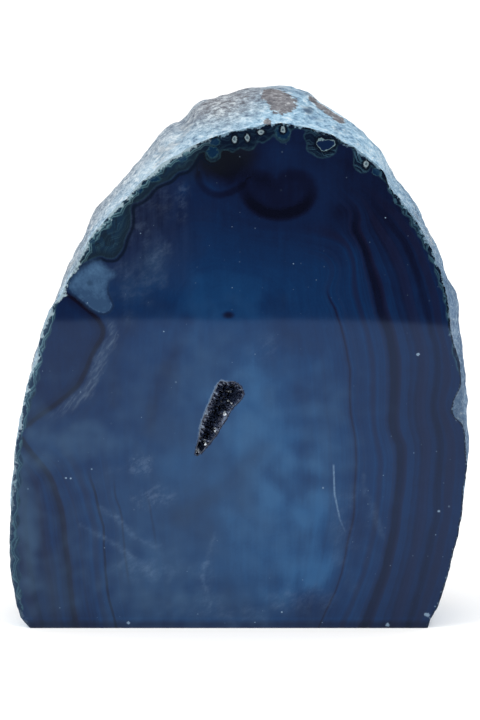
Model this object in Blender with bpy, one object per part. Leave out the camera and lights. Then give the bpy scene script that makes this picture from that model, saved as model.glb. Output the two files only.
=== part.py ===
"""A banded agate nodule, sawn in half, polished on the sawn face and stood on a second, sawn base.

The stone is one solid. Its polished face is flat and faces -Y, its base is flat at z = 0, and the
natural rind closes the back, the sides and the top. A small slanted vug opens in the face, and a
crust of pointed crystals lines it. The origin is under the middle of the stone, on the base.
"""

import math

import bmesh
import bpy
import numpy as np
from mathutils import Vector, noise

MM = 0.001
QUARTER_TURN = 0.5 * math.pi

# Driving sizes, in millimetres: the polished face and the back's furthest point along y, how far
# behind the face the stone is widest, and the point of the face that its outlines are drawn round
FACE_Y = -29.0
BACK_Y = 28.2
WAIST_DEPTH = 20.0
FACE_CENTRE = (-1.0, 62.0)

# Outline of the polished face as (x, z), from the base up the left side, over and down the right
FACE_RIM = [
    (-53.2, 0.0),
    (-56.2, 5.0),
    (-57.8, 14.0),
    (-58.1, 25.0),
    (-57.4, 37.0),
    (-56.1, 48.0),
    (-54.2, 58.5),
    (-51.5, 68.0),
    (-48.8, 77.5),
    (-45.3, 84.3),
    (-41.0, 92.0),
    (-37.3, 99.0),
    (-32.3, 105.2),
    (-27.3, 110.2),
    (-20.8, 116.5),
    (-13.0, 121.7),
    (-5.0, 124.8),
    (3.0, 126.9),
    (9.6, 127.8),
    (16.0, 126.8),
    (23.0, 124.9),
    (29.7, 120.8),
    (35.0, 116.8),
    (37.6, 111.4),
    (43.4, 104.4),
    (48.6, 94.3),
    (51.2, 85.8),
    (53.2, 74.3),
    (55.4, 63.8),
    (53.8, 58.6),
    (53.8, 54.4),
    (56.0, 51.4),
    (56.8, 42.0),
    (55.7, 28.0),
    (53.3, 17.4),
    (49.0, 3.0),
    (42.0, -6.0),
    (25.0, -14.0),
    (0.0, -17.0),
    (-25.0, -15.0),
    (-44.0, -9.0),
]

# Outline of the stone at its waist, WAIST_DEPTH behind the face, where the rind stands out furthest
WAIST = [
    (-53.4, 0.0),
    (-56.6, 5.0),
    (-58.2, 14.0),
    (-58.6, 25.0),
    (-58.0, 37.0),
    (-56.6, 48.0),
    (-54.6, 58.5),
    (-52.3, 68.0),
    (-50.2, 75.0),
    (-46.6, 83.6),
    (-43.6, 90.5),
    (-38.2, 101.8),
    (-33.6, 108.0),
    (-28.4, 114.5),
    (-21.0, 123.0),
    (-17.6, 126.2),
    (-14.4, 127.6),
    (-10.6, 131.2),
    (-4.4, 133.8),
    (4.0, 135.8),
    (10.0, 135.7),
    (16.4, 134.0),
    (26.4, 127.6),
    (31.2, 124.4),
    (35.0, 119.6),
    (38.6, 113.8),
    (43.8, 106.6),
    (49.0, 98.0),
    (52.8, 88.0),
    (55.4, 82.2),
    (55.8, 76.6),
    (58.0, 61.5),
    (58.6, 47.0),
    (58.2, 38.0),
    (56.0, 26.0),
    (53.2, 15.0),
    (48.4, 3.0),
    (42.0, -5.0),
    (25.0, -13.0),
    (0.0, -16.0),
    (-25.0, -14.0),
    (-44.0, -8.0),
]

# The back rounds off as a superellipse: 2 is an ellipse, and more is fuller
BACK_FULLNESS = 2.35

# Rings of the mesh: how many points go round, how many rings the flank and the back take, how
# much closer the rings lie near the face, and when a ring has half the points of the one before
POINTS_ROUND = 128
FLANK_RINGS = 8
BACK_RINGS = 22
FLANK_CROWDING = 1.3
RING_HALVES_BELOW = 0.6
SMALLEST_RING = 16
PROFILE_STEPS = 400
OUTLINE_STEPS = 12
CUT_TOLERANCE = 1e-6
SHARP_ANGLE = math.radians(40.0)

# Relief of the rind: broad lumps, smaller knobs with creases between them, and single pits.
# It fades out at the face's rim, and it is low on the flank between the rim and the waist.
RIM_CHIP = 0.45
RIM_CHIP_PITCH = 6.0
LUMP_HEIGHT = 2.6
LUMP_PITCH = 26.0
LUMP_DETAIL = 0.35
KNOB_HEIGHT = 1.8
KNOB_PITCH = 14.0
KNOB_SHOULDER = 0.6
KNOB_MEAN = 0.5
RIM_FADE = 6.0
FLANK_RELIEF = 0.25
RELIEF_GROWS_OVER = 14.0
# Each pit is (x, y, z, radius, depth)
PITS = [
    (-30.0, 24.0, 96.0, 7.0, 2.2),
    (14.0, 26.0, 108.0, 8.0, 2.4),
    (38.0, 14.0, 70.0, 8.0, 2.6),
    (-46.0, 4.0, 44.0, 7.0, 2.0),
    (44.0, 6.0, 26.0, 7.0, 2.2),
    (-14.0, 30.0, 34.0, 9.0, 2.8),
    (18.0, 30.0, 62.0, 7.0, 2.2),
    (2.0, 8.0, 132.0, 6.0, 1.8),
    (-40.0, 16.0, 72.0, 6.0, 1.8),
]

# Vug: its outline on the face, the two ends of its middle line, and its section by depth.
# Each row of a section is (depth behind the face, width as a share of the outline's width).
VUG_OUTLINE = [
    (-3.6, 64.0),
    (-0.4, 63.0),
    (1.0, 60.4),
    (-1.2, 57.0),
    (-3.2, 53.8),
    (-5.2, 50.2),
    (-7.6, 46.6),
    (-10.0, 44.0),
    (-11.8, 44.6),
    (-11.2, 48.0),
    (-9.8, 52.6),
    (-8.0, 57.2),
    (-5.8, 61.8),
]
VUG_SPINE = ((-10.3, 46.2), (-2.6, 60.8))
POCKET_ROWS = [(0.0, 1.0), (4.0, 1.0), (8.0, 0.86), (11.5, 0.6), (13.0, 0.3)]
CRUST_ROWS = [(0.5, 1.0), (2.4, 0.94), (4.6, 0.86), (6.8, 0.74), (8.8, 0.56), (10.4, 0.36), (11.2, 0.16)]
VUG_STEPS = 24
CUTTER_REACH = 4.0
CRUST_GAP = 0.3
CRUST_WALL = 0.35
NARROWEST = 0.09

# Crystals: how many go round the vug, how far rows of them interlock, and each one's shape as
# shares of its own width and of the way to the vug's middle line
CRYSTALS_ROUND = 20
INTERLOCK = 0.4
CRYSTAL_TAPER = 0.74
CRYSTAL_SHOULDER = 0.16
CRYSTAL_POINT = 0.42
CRYSTAL_LEAN = 0.06
CRYSTAL_HEIGHTS = (0.7, 1.1)
CRYSTAL_TOWARDS_MOUTH = 0.35
SEED = 7


def clear_scene():
    for obj in list(bpy.data.objects):
        bpy.data.objects.remove(obj, do_unlink=True)


def make_material(name, colour, roughness):
    material = bpy.data.materials.new(name)
    material.use_nodes = True
    shader = material.node_tree.nodes["Principled BSDF"]
    shader.inputs["Base Color"].default_value = (*colour, 1.0)
    shader.inputs["Roughness"].default_value = roughness
    shader.inputs["Metallic"].default_value = 0.0
    return material


def smooth_closed(points, steps):
    """Points of a closed Catmull-Rom curve through the given ones, steps to each span."""
    corners = np.array(points, float)
    before = np.roll(corners, 1, axis=0)
    after = np.roll(corners, -1, axis=0)
    beyond = np.roll(corners, -2, axis=0)
    curve = []
    for a, b, c, d in zip(before, corners, after, beyond):
        for t in np.arange(steps) / steps:
            curve.append(
                b
                + 0.5 * t * (c - a)
                + t**2 * (a - 2.5 * b + 2.0 * c - 0.5 * d)
                + t**3 * (1.5 * b - 0.5 * a - 1.5 * c + 0.5 * d)
            )
    return np.array(curve)


def radius_table(outline):
    """Angles round FACE_CENTRE, rising, and the outline's radius at each."""
    curve = smooth_closed(outline, OUTLINE_STEPS) - np.array(FACE_CENTRE)
    angles = np.arctan2(curve[:, 1], curve[:, 0])
    order = np.argsort(angles)
    return angles[order], np.hypot(curve[:, 0], curve[:, 1])[order]


def lump(point):
    """Broad smooth lumps, between about -1 and 1."""
    place = Vector(point) / LUMP_PITCH
    return noise.noise(place) + LUMP_DETAIL * noise.noise(place * 2.0)


def knob(point):
    """Round knobs, 1 on top and 0 in the creases where two knobs meet."""
    nearest = noise.voronoi(Vector(point) / KNOB_PITCH)[0]
    return smooth_step((nearest[1] - nearest[0]) / KNOB_SHOULDER)


def smooth_step(value):
    value = min(max(value, 0.0), 1.0)
    return value * value * (3.0 - 2.0 * value)


def rind_relief(point):
    """How far the rind stands out at a point, in millimetres: lumps and knobs, less the pits."""
    depth = point[1] - FACE_Y
    grown = smooth_step((depth - WAIST_DEPTH) / RELIEF_GROWS_OVER)
    share = smooth_step(depth / RIM_FADE) * (FLANK_RELIEF + (1.0 - FLANK_RELIEF) * grown)
    relief = share * (LUMP_HEIGHT * lump(point) + KNOB_HEIGHT * (knob(point) - KNOB_MEAN))
    for x, y, z, radius, deep in PITS:
        away = math.dist(point, (x, y, z))
        relief -= deep * (1.0 - smooth_step(away / radius))
    return relief


def nodule_point(angle, rise, tables):
    """A point of the rind. rise runs from 0 at the face, over 1 at the waist, to 2 at the back pole."""
    rim_angles, rim_radii, waist_angles, waist_radii = tables
    rim = np.interp(angle, rim_angles, rim_radii, period=4.0 * QUARTER_TURN)
    waist = np.interp(angle, waist_angles, waist_radii, period=4.0 * QUARTER_TURN)
    if rise <= 1.0:
        depth = WAIST_DEPTH * rise
        radius = rim + (waist - rim) * math.sin(QUARTER_TURN * rise)
    else:
        across, back = back_profile(QUARTER_TURN * (rise - 1.0))
        depth = WAIST_DEPTH + (BACK_Y - FACE_Y - WAIST_DEPTH) * back
        radius = waist * across
    x = FACE_CENTRE[0] + radius * math.cos(angle)
    z = FACE_CENTRE[1] + radius * math.sin(angle)
    if rise == 0.0:
        chip = RIM_CHIP * noise.noise(Vector((x, 0.0, z)) / RIM_CHIP_PITCH)
        x += chip * math.cos(angle)
        z += chip * math.sin(angle)
    point = (x, FACE_Y + depth, z)
    relief = rind_relief(point)
    outward = Vector((math.cos(angle), 0.0, math.sin(angle)))
    if rise > 1.0:
        lean = math.sin(QUARTER_TURN * (rise - 1.0))
        outward = (outward * (1.0 - lean) + Vector((0.0, lean, 0.0))).normalized()
    return Vector(point) + outward * relief


def back_profile(turn):
    """The rounded back as (share of the waist's radius, share of the depth behind the waist)."""
    power = 2.0 / BACK_FULLNESS
    return max(math.cos(turn), 0.0) ** power, math.sin(turn) ** power


def ring_rises():
    """The rings' places: closer together near the face, and evenly spaced over the back."""
    turns = np.linspace(0.0, QUARTER_TURN, PROFILE_STEPS)
    profile = np.array([back_profile(turn) for turn in turns])
    sides = np.diff(profile, axis=0) * np.array([FACE_CENTRE[1], BACK_Y - FACE_Y - WAIST_DEPTH])
    lengths = np.concatenate([[0.0], np.cumsum(np.hypot(sides[:, 0], sides[:, 1]))])
    even = np.interp(np.arange(BACK_RINGS) / BACK_RINGS * lengths[-1], lengths, turns)
    flank = [(ring / FLANK_RINGS) ** FLANK_CROWDING for ring in range(FLANK_RINGS)]
    return flank + list(1.0 + even / QUARTER_TURN)


def bridge_rings(mesh, front, back):
    """Joins two rings of the same size, or one to the next that has half its points."""
    count = len(front)
    for here in range(count):
        nearby = (here + 1) % count
        if len(back) == count:
            mesh.faces.new((front[here], front[nearby], back[nearby], back[here]))
            continue
        half = here // 2
        if here % 2 == 0:
            mesh.faces.new((front[here], front[nearby], back[half]))
        else:
            ahead = (half + 1) % len(back)
            mesh.faces.new((front[here], front[nearby], back[ahead], back[half]))


def build_stone():
    """The nodule as rings from the face's rim to the back pole, cut off flat at the base."""
    tables = (*radius_table(FACE_RIM), *radius_table(WAIST))
    mesh = bmesh.new()
    rings = []
    count = POINTS_ROUND
    for rise in ring_rises():
        shrunk = back_profile(QUARTER_TURN * max(rise - 1.0, 0.0))[0]
        if shrunk < RING_HALVES_BELOW * count / POINTS_ROUND and count // 2 >= SMALLEST_RING:
            count //= 2
        ring = []
        for step in range(count):
            angle = 4.0 * QUARTER_TURN * step / count
            ring.append(mesh.verts.new(nodule_point(angle, rise, tables) * MM))
        rings.append(ring)
    for front, back in zip(rings, rings[1:]):
        bridge_rings(mesh, front, back)
    pole = mesh.verts.new(nodule_point(0.0, 2.0, tables) * MM)
    last = rings[-1]
    for here in range(len(last)):
        mesh.faces.new((last[here], last[(here + 1) % len(last)], pole))
    mesh.faces.new(list(reversed(rings[0])))
    bmesh.ops.recalc_face_normals(mesh, faces=mesh.faces)
    cut = bmesh.ops.bisect_plane(
        mesh,
        geom=mesh.verts[:] + mesh.edges[:] + mesh.faces[:],
        dist=CUT_TOLERANCE,
        plane_co=(0.0, 0.0, 0.0),
        plane_no=(0.0, 0.0, -1.0),
        clear_outer=True,
    )
    edges = [item for item in cut["geom_cut"] if isinstance(item, bmesh.types.BMEdge)]
    bmesh.ops.holes_fill(mesh, edges=edges, sides=0)
    bmesh.ops.recalc_face_normals(mesh, faces=mesh.faces)
    return finish_object("agate_slab", mesh)


def finish_object(name, mesh):
    data = bpy.data.meshes.new(name)
    mesh.to_mesh(data)
    mesh.free()
    obj = bpy.data.objects.new(name, data)
    bpy.context.scene.collection.objects.link(obj)
    return obj


def vug_ring(outline, depth, width, inset):
    """One section of the vug: its outline drawn in towards the vug's middle line."""
    start = np.array(VUG_SPINE[0])
    along = np.array(VUG_SPINE[1]) - start
    ring = []
    for point in outline:
        share = np.clip(np.dot(point - start, along) / np.dot(along, along), 0.0, 1.0)
        middle = start + share * along
        out = point - middle
        reach = np.hypot(*out)
        place = middle + out / reach * max(reach * width - inset, reach * NARROWEST)
        ring.append(Vector((place[0], FACE_Y + depth, place[1])))
    return ring


def even_outline(count):
    """The vug's outline as points spaced evenly along it."""
    curve = smooth_closed(VUG_OUTLINE, VUG_STEPS)
    closed = np.vstack([curve, curve[:1]])
    lengths = np.concatenate([[0.0], np.cumsum(np.hypot(*np.diff(closed, axis=0).T))])
    wanted = np.arange(count) / count * lengths[-1]
    return np.stack([np.interp(wanted, lengths, closed[:, axis]) for axis in (0, 1)], axis=1)


def new_ring(mesh, places):
    return [mesh.verts.new(place * MM) for place in places]


def build_pocket_cutter():
    """The open vug as a solid that is taken from the stone, standing proud of the face."""
    outline = even_outline(2 * CRYSTALS_ROUND)
    mesh = bmesh.new()
    rings = [new_ring(mesh, vug_ring(outline, -CUTTER_REACH, 1.0, 0.0))]
    for depth, width in POCKET_ROWS:
        rings.append(new_ring(mesh, vug_ring(outline, depth, width, 0.0)))
    for front, back in zip(rings, rings[1:]):
        bridge_rings(mesh, front, back)
    mesh.faces.new(list(reversed(rings[0])))
    mesh.faces.new(rings[-1])
    bmesh.ops.recalc_face_normals(mesh, faces=mesh.faces)
    cutter = finish_object("vug_cutter", mesh)
    cutter.hide_render = True
    cutter.display_type = "WIRE"
    return cutter


def raise_crystal(mesh, corners, inward, draw):
    """Turns one six-sided cell of the crust into a short prism with a six-faced point."""
    middle = sum((corner.co for corner in corners), Vector()) / len(corners)
    height = draw.uniform(*CRYSTAL_HEIGHTS)
    lean = Vector(draw.uniform(-CRYSTAL_LEAN, CRYSTAL_LEAN, 3)) * inward.length
    shoulder = middle + inward * CRYSTAL_SHOULDER * height + lean
    tops = []
    for corner in corners:
        tops.append(mesh.verts.new(shoulder + (corner.co - middle) * CRYSTAL_TAPER))
    point = mesh.verts.new(middle + inward * CRYSTAL_POINT * height + lean * 2.0)
    for here in range(len(corners)):
        nearby = (here + 1) % len(corners)
        mesh.faces.new((corners[here], corners[nearby], tops[nearby], tops[here]))
        mesh.faces.new((tops[here], tops[nearby], point))


def build_crust():
    """The vug's lining: a closed shell whose inner wall is a honeycomb of pointed crystals."""
    draw = np.random.default_rng(SEED)
    outline = even_outline(2 * CRYSTALS_ROUND)
    points = len(outline)
    mesh = bmesh.new()
    outer = [new_ring(mesh, vug_ring(outline, CRUST_ROWS[0][0], 1.0, CRUST_GAP))]
    for depth, width in POCKET_ROWS[1:]:
        outer.append(new_ring(mesh, vug_ring(outline, depth - CRUST_GAP, width, CRUST_GAP)))
    inner = []
    spines = []
    for row, (depth, width) in enumerate(CRUST_ROWS):
        zigzag = 0.0 if row in (0, len(CRUST_ROWS) - 1) else INTERLOCK
        places = vug_ring(outline, depth, width, CRUST_GAP + CRUST_WALL)
        for here, place in enumerate(places):
            place.y += zigzag * (1.0 if (here + row) % 2 else -1.0)
        inner.append(new_ring(mesh, places))
        spines.append(vug_ring(outline, depth, 0.0, 0.0))
    for front, back in zip(outer, outer[1:]):
        bridge_rings(mesh, front, back)
    mesh.faces.new(outer[-1])
    for here in range(points):
        nearby = (here + 1) % points
        mesh.faces.new((outer[0][here], outer[0][nearby], inner[0][nearby], inner[0][here]))
    for row in range(len(inner) - 1):
        for cell in range(CRYSTALS_ROUND):
            first = 2 * cell + row % 2
            span = [first % points, (first + 1) % points, (first + 2) % points]
            corners = [inner[row][here] for here in span]
            corners += [inner[row + 1][here] for here in reversed(span)]
            middle = sum((corner.co for corner in corners), Vector()) / len(corners)
            target = (spines[row][span[1]] + spines[row + 1][span[1]]) * 0.5 * MM
            target.y -= CRYSTAL_TOWARDS_MOUTH * (target - middle).length
            raise_crystal(mesh, corners, target - middle, draw)
    mesh.faces.new(inner[-1])
    bmesh.ops.recalc_face_normals(mesh, faces=mesh.faces)
    return finish_object("vug_crystals", mesh)


def main():
    clear_scene()
    stone = build_stone()
    stone.data.materials.append(make_material("blue agate", (0.03, 0.09, 0.2), 0.12))
    stone.data.shade_smooth()
    stone.data.set_sharp_from_angle(angle=SHARP_ANGLE)
    crust = build_crust()
    crust.data.materials.append(make_material("quartz druse", (0.3, 0.42, 0.58), 0.2))
    pocket = stone.modifiers.new("vug pocket", "BOOLEAN")
    pocket.operation = "DIFFERENCE"
    pocket.object = build_pocket_cutter()


main()
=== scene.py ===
"""Looks of the cut-base agate half nodule: polished blue face, rind, sawn base and druse."""

import math

import bmesh
import bpy
import numpy as np
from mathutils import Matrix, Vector, noise


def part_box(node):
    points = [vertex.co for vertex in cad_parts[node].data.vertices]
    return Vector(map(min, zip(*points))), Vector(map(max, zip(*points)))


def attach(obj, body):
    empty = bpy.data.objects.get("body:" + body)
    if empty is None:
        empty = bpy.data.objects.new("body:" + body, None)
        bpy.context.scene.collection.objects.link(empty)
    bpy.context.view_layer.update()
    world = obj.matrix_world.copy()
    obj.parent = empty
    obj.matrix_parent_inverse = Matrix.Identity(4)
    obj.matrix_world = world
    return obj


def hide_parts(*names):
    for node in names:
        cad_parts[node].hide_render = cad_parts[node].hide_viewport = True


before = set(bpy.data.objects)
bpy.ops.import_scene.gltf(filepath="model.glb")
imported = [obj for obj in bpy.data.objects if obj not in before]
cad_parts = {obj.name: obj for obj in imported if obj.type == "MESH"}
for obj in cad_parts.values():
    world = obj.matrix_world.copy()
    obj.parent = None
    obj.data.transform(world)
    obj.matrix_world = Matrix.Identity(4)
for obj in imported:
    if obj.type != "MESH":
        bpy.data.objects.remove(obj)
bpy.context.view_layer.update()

MM = 0.001
QUARTER_TURN = 0.5 * math.pi
FULL_TURN = 2.0 * math.pi


def pairs(*numbers):
    """The numbers two by two, as (x, z) points in millimetres."""
    return list(zip(numbers[::2], numbers[1::2]))


# The stone's base shape, in millimetres, as the CAD has it
FACE_Y = -29.0
BACK_Y = 28.2
WAIST_DEPTH = 20.0
FACE_CENTRE = (-1.0, 62.0)
FACE_RIM = pairs(
    -53.2, 0, -56.2, 5, -57.8, 14, -58.1, 25, -57.4, 37, -56.1, 48, -54.2, 58.5, -51.5, 68,
    -48.8, 77.5, -45.3, 84.3, -41, 92, -37.3, 99, -32.3, 105.2, -27.3, 110.2, -20.8, 116.5,
    -13, 121.7, -5, 124.8, 3, 126.9, 9.6, 127.8, 16, 126.8, 23, 124.9, 29.7, 120.8, 35, 116.8,
    37.6, 111.4, 43.4, 104.4, 48.6, 94.3, 51.2, 85.8, 53.2, 74.3, 55.4, 63.8, 53.8, 58.6,
    53.8, 54.4, 56, 51.4, 56.8, 42, 55.7, 28, 53.3, 17.4, 49, 3, 42, -6, 25, -14, 0, -17, -25, -15,
    -44, -9,
)
WAIST = pairs(
    -53.4, 0, -56.6, 5, -58.2, 14, -58.6, 25, -58, 37, -56.6, 48, -54.6, 58.5, -52.3, 68,
    -50.2, 75, -46.6, 83.6, -43.6, 90.5, -38.2, 101.8, -33.6, 108, -28.4, 114.5, -21, 123,
    -17.6, 126.2, -14.4, 127.6, -10.6, 131.2, -4.4, 133.8, 4, 135.8, 10, 135.7, 16.4, 134,
    26.4, 127.6, 31.2, 124.4, 35, 119.6, 38.6, 113.8, 43.8, 106.6, 49, 98, 52.8, 88, 55.4, 82.2,
    55.8, 76.6, 58, 61.5, 58.6, 47, 58.2, 38, 56, 26, 53.2, 15, 48.4, 3, 42, -5, 25, -13, 0, -16,
    -25, -14, -44, -8,
)
BACK_FULLNESS = 2.35
OUTLINE_STEPS = 12
PROFILE_STEPS = 400
CUT_TOLERANCE = 1e-6
RIM_CHIP = 0.45
RIM_CHIP_PITCH = 6.0
RIM_CHIP_FADE = 1.34
RIM_CHIP_POWER = 8
LUMP_HEIGHT = 2.6
LUMP_PITCH = 26.0
LUMP_DETAIL = 0.35
KNOB_HEIGHT = 1.8
KNOB_PITCH = 14.0
KNOB_SHOULDER = 0.6
KNOB_MEAN = 0.5
RIM_FADE = 6.0
FLANK_RELIEF = 0.25
RELIEF_GROWS_OVER = 14.0
PITS = [
    (-30.0, 24.0, 96.0, 7.0, 2.2), (14.0, 26.0, 108.0, 8.0, 2.4), (38.0, 14.0, 70.0, 8.0, 2.6),
    (-46.0, 4.0, 44.0, 7.0, 2.0), (44.0, 6.0, 26.0, 7.0, 2.2), (-14.0, 30.0, 34.0, 9.0, 2.8),
    (18.0, 30.0, 62.0, 7.0, 2.2), (2.0, 8.0, 132.0, 6.0, 1.8), (-40.0, 16.0, 72.0, 6.0, 1.8),
]
VUG_OUTLINE = pairs(
    -4.5, 63.5, -3.2, 63.1, -2, 63.4, -0.3, 62.6, 0.8, 61, 0.8, 59.3, -0.2, 58, -1.5, 56.9,
    -2.4, 55.6, -3.6, 53.4, -4.7, 51.7, -6, 49.4, -7.4, 47.7, -8.6, 46.2, -9.6, 45, -10.9, 44.2,
    -11.4, 45.2, -10.6, 48.1, -9.9, 52.2, -8.4, 56.3, -6.7, 60.3, -5.5, 62.9,
)
VUG_SPINE = ((-10.3, 46.2), (-2.6, 60.8))
VUG_CENTRE = (-5.8, 54.0)
NARROWEST = 0.09
POCKET_ROWS = [
    (2.0, 1.0), (4.0, 1.0), (6.0, 0.93), (8.0, 0.86), (10.0, 0.71), (11.5, 0.6), (12.4, 0.45),
    (13.0, 0.3),
]

# The fine mesh: points round the stone, the rings' spacing on the face and on the rind with the
# gaps left before the waist and the pole, and where the rings' points are halved
POINTS_ROUND = 640
FACE_SPAN = 50.0
RIM_RINGS = 28
RIM_SPACING = 0.35
FACE_SPACING = 0.8
FLANK_DEPTHS = [0.25, 0.6, 1.05, 1.6, 2.3, 3.1]
FLANK_SPACING = 0.95
BACK_SPACING = 1.15
WAIST_GAP = 0.5
POLE_GAP = 0.6
HALVE_BELOW = (0.55, 0.28, 0.14)

# Fine relief of the rind and chips along the face's rim, as (height, pitch), then the rind's pits
FINE_RELIEF = [(0.5, 5.5), (0.26, 2.4), (0.12, 1.1)]
FINE_CHIPS = [(0.2, 1.7), (0.1, 0.7)]
PITTING_PITCH = 4.2
PITTING_RADIUS = 0.34
PITTING_DEPTH = 0.45
FINE_FADE = 2.0

# Growth bands of the agate: each guide is a line on the face that one band follows, with how
# deep the band lies under the rind. The guides are smoothed into one field over the face.
BAND_GUIDES = [
    (6, pairs(
        27.2, 114.3, 28.7, 112, 31.5, 109.8, 33.7, 107.1, 36.5, 104.3, 38.7, 101.3, 41, 98.3,
        42.6, 94.5, 44.6, 89.1, 46.1, 83.3, 47.4, 78, 49, 72.2, 49.5, 66.4, 49.1, 60.6, 48.7, 56,
        49.9, 50.9, 50.4, 45.1, 49.7, 37.2, 49.8, 29.5, 48.1, 22, 46.5, 13.5, 44.5, 7, 43.3, 2.4,
        42.1, -1.8,
    )),
    (16, pairs(
        24.3, 117.2, 23.5, 114.3, 24.3, 111.3, 26.5, 109, 28.5, 107.1, 29.3, 104.3, 28.8, 102.1,
        30.4, 98.6, 32.3, 92.8, 34.4, 87.1, 35.4, 81.3, 36.7, 78, 38.2, 72.2, 38.8, 66.4,
        38.7, 60.6, 38.4, 54.8, 38.9, 50.4, 40.4, 47.1, 40.7, 43, 40.4, 37.2, 39.7, 31.3, 39, 25.4,
        37.3, 16.9, 35.2, 10.1, 31.9, 1.1, 30.4, -3.1,
    )),
    (28, pairs(
        21.7, 86.3, 23.7, 81.6, 24.8, 78, 26.4, 72.2, 27.4, 66.4, 27.5, 60.6, 27.8, 54.8,
        28.9, 48.9, 29.1, 45.1, 28.9, 37.2, 28.4, 27.4, 27.4, 22.8, 26, 16.1, 23.9, 9.1, 21.4, 3.7,
        19.5, -1,
    )),
    (41, pairs(
        11.5, 73, 13, 66.4, 14.3, 52.9, 15.1, 43.3, 15.4, 33.1, 14.6, 22.8, 13.2, 12.5, 11.2, 2.1,
    )),
    (15, pairs(
        -40.8, 82.7, -37.4, 80.5, -35.1, 78.4, -34.4, 76.1, -35.1, 72.7, -37, 70.3, -38.3, 67.7,
        -39.8, 63.7, -41.7, 60.6, -43.6, 58.7, -46.7, 57.1, -49.4, 54.8, -51.9, 52.5, -53.4, 51.2,
    )),
    (15, pairs(
        -54, 47, -53, 45, -51.5, 43.1, -48.4, 40.7, -46.8, 37.2, -45.3, 31.8, -44, 26.4, -43.4, 20,
        -42.8, 14.3, -42.3, 9.2, -41.1, 2.4, -40.1, -1.8,
    )),
    (5, pairs(
        -54.1, 33.1, -54.2, 28.4, -53.8, 22, -52.7, 13.5, -51.5, 7, -50.3, 1.8, -49.5, -1.8,
    )),
    (24, pairs(
        -37.7, 39.2, -36.5, 34.9, -35.3, 29.5, -34.5, 26.4, -34.2, 19.4, -33.6, 10.9, -32.2, 3.7,
        -31.2, -1,
    )),
    (30, pairs(
        -31.7, 38.7, -31.2, 33.3, -30.6, 31.8, -29.6, 25.4, -29, 19.4, -28.1, 10.9, -26.9, 2.1,
    )),
    (38, pairs(
        -23, 32.9, -21.8, 26.6, -21, 19.4, -20.2, 10.9, -19.3, 1.6,
    )),
    (14, pairs(
        21, 117.2, 18.1, 118, 14.8, 119.2, 11.1, 119.7, 6.9, 119.2, 3, 118.7, -0.5, 117.2,
        -4.5, 117.2, -7.9, 118.5, -11.3, 118.5, -15.4, 115.7, -19.3, 113.1, -23.1, 109.8,
        -26, 108.3, -27.1, 104.3, -28.6, 99.1, -30.3, 95.2, -33.1, 94.3, -37.8, 93.6, -40.7, 91.3,
    )),
    (22, pairs(
        27.9, 93.3, 26.1, 97.6, 22.4, 99.8, 17.4, 100.8, 11.2, 101.6, 5, 101.8, 0, 103.3,
        -4.5, 105.8, -8.7, 107.8, -12.4, 107.8, -16.9, 105.8, -20.4, 101.8, -23.4, 96.3,
        -24.9, 90.1, -26.4, 83.8, -27.9, 77.5,
    )),
    (32, pairs(
        19.4, 90.8, 14.9, 93.3, 8.7, 94.8, 2.5, 95.8, -3.7, 97.3, -8.7, 98.3, -12.9, 96.8,
        -16.9, 93.3, -19.9, 86.3, -22, 78.8, -23.5, 72.5,
    )),
    (52, pairs(
        -3.7, 80, -3.8, 63.6, -5, 50.9, -3.8, 40.7, -2.5, 27.9, -2, 15, -2, 2,
    )),
]
# Where a band comes out at the rim, the rim isn't held at depth 0: (middle, reach)
RIM_PINCHES = [((-55.0, 49.0), 9.0), ((-44.0, 87.0), 7.0)]
BAND_SMOOTHING = 0.4
# How many points of the rim are held at depth 0, all above this height
RIM_GUIDES = 80
RIM_GUIDES_ABOVE = -6.0
PLACES_AT_ONCE = 4000

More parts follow.
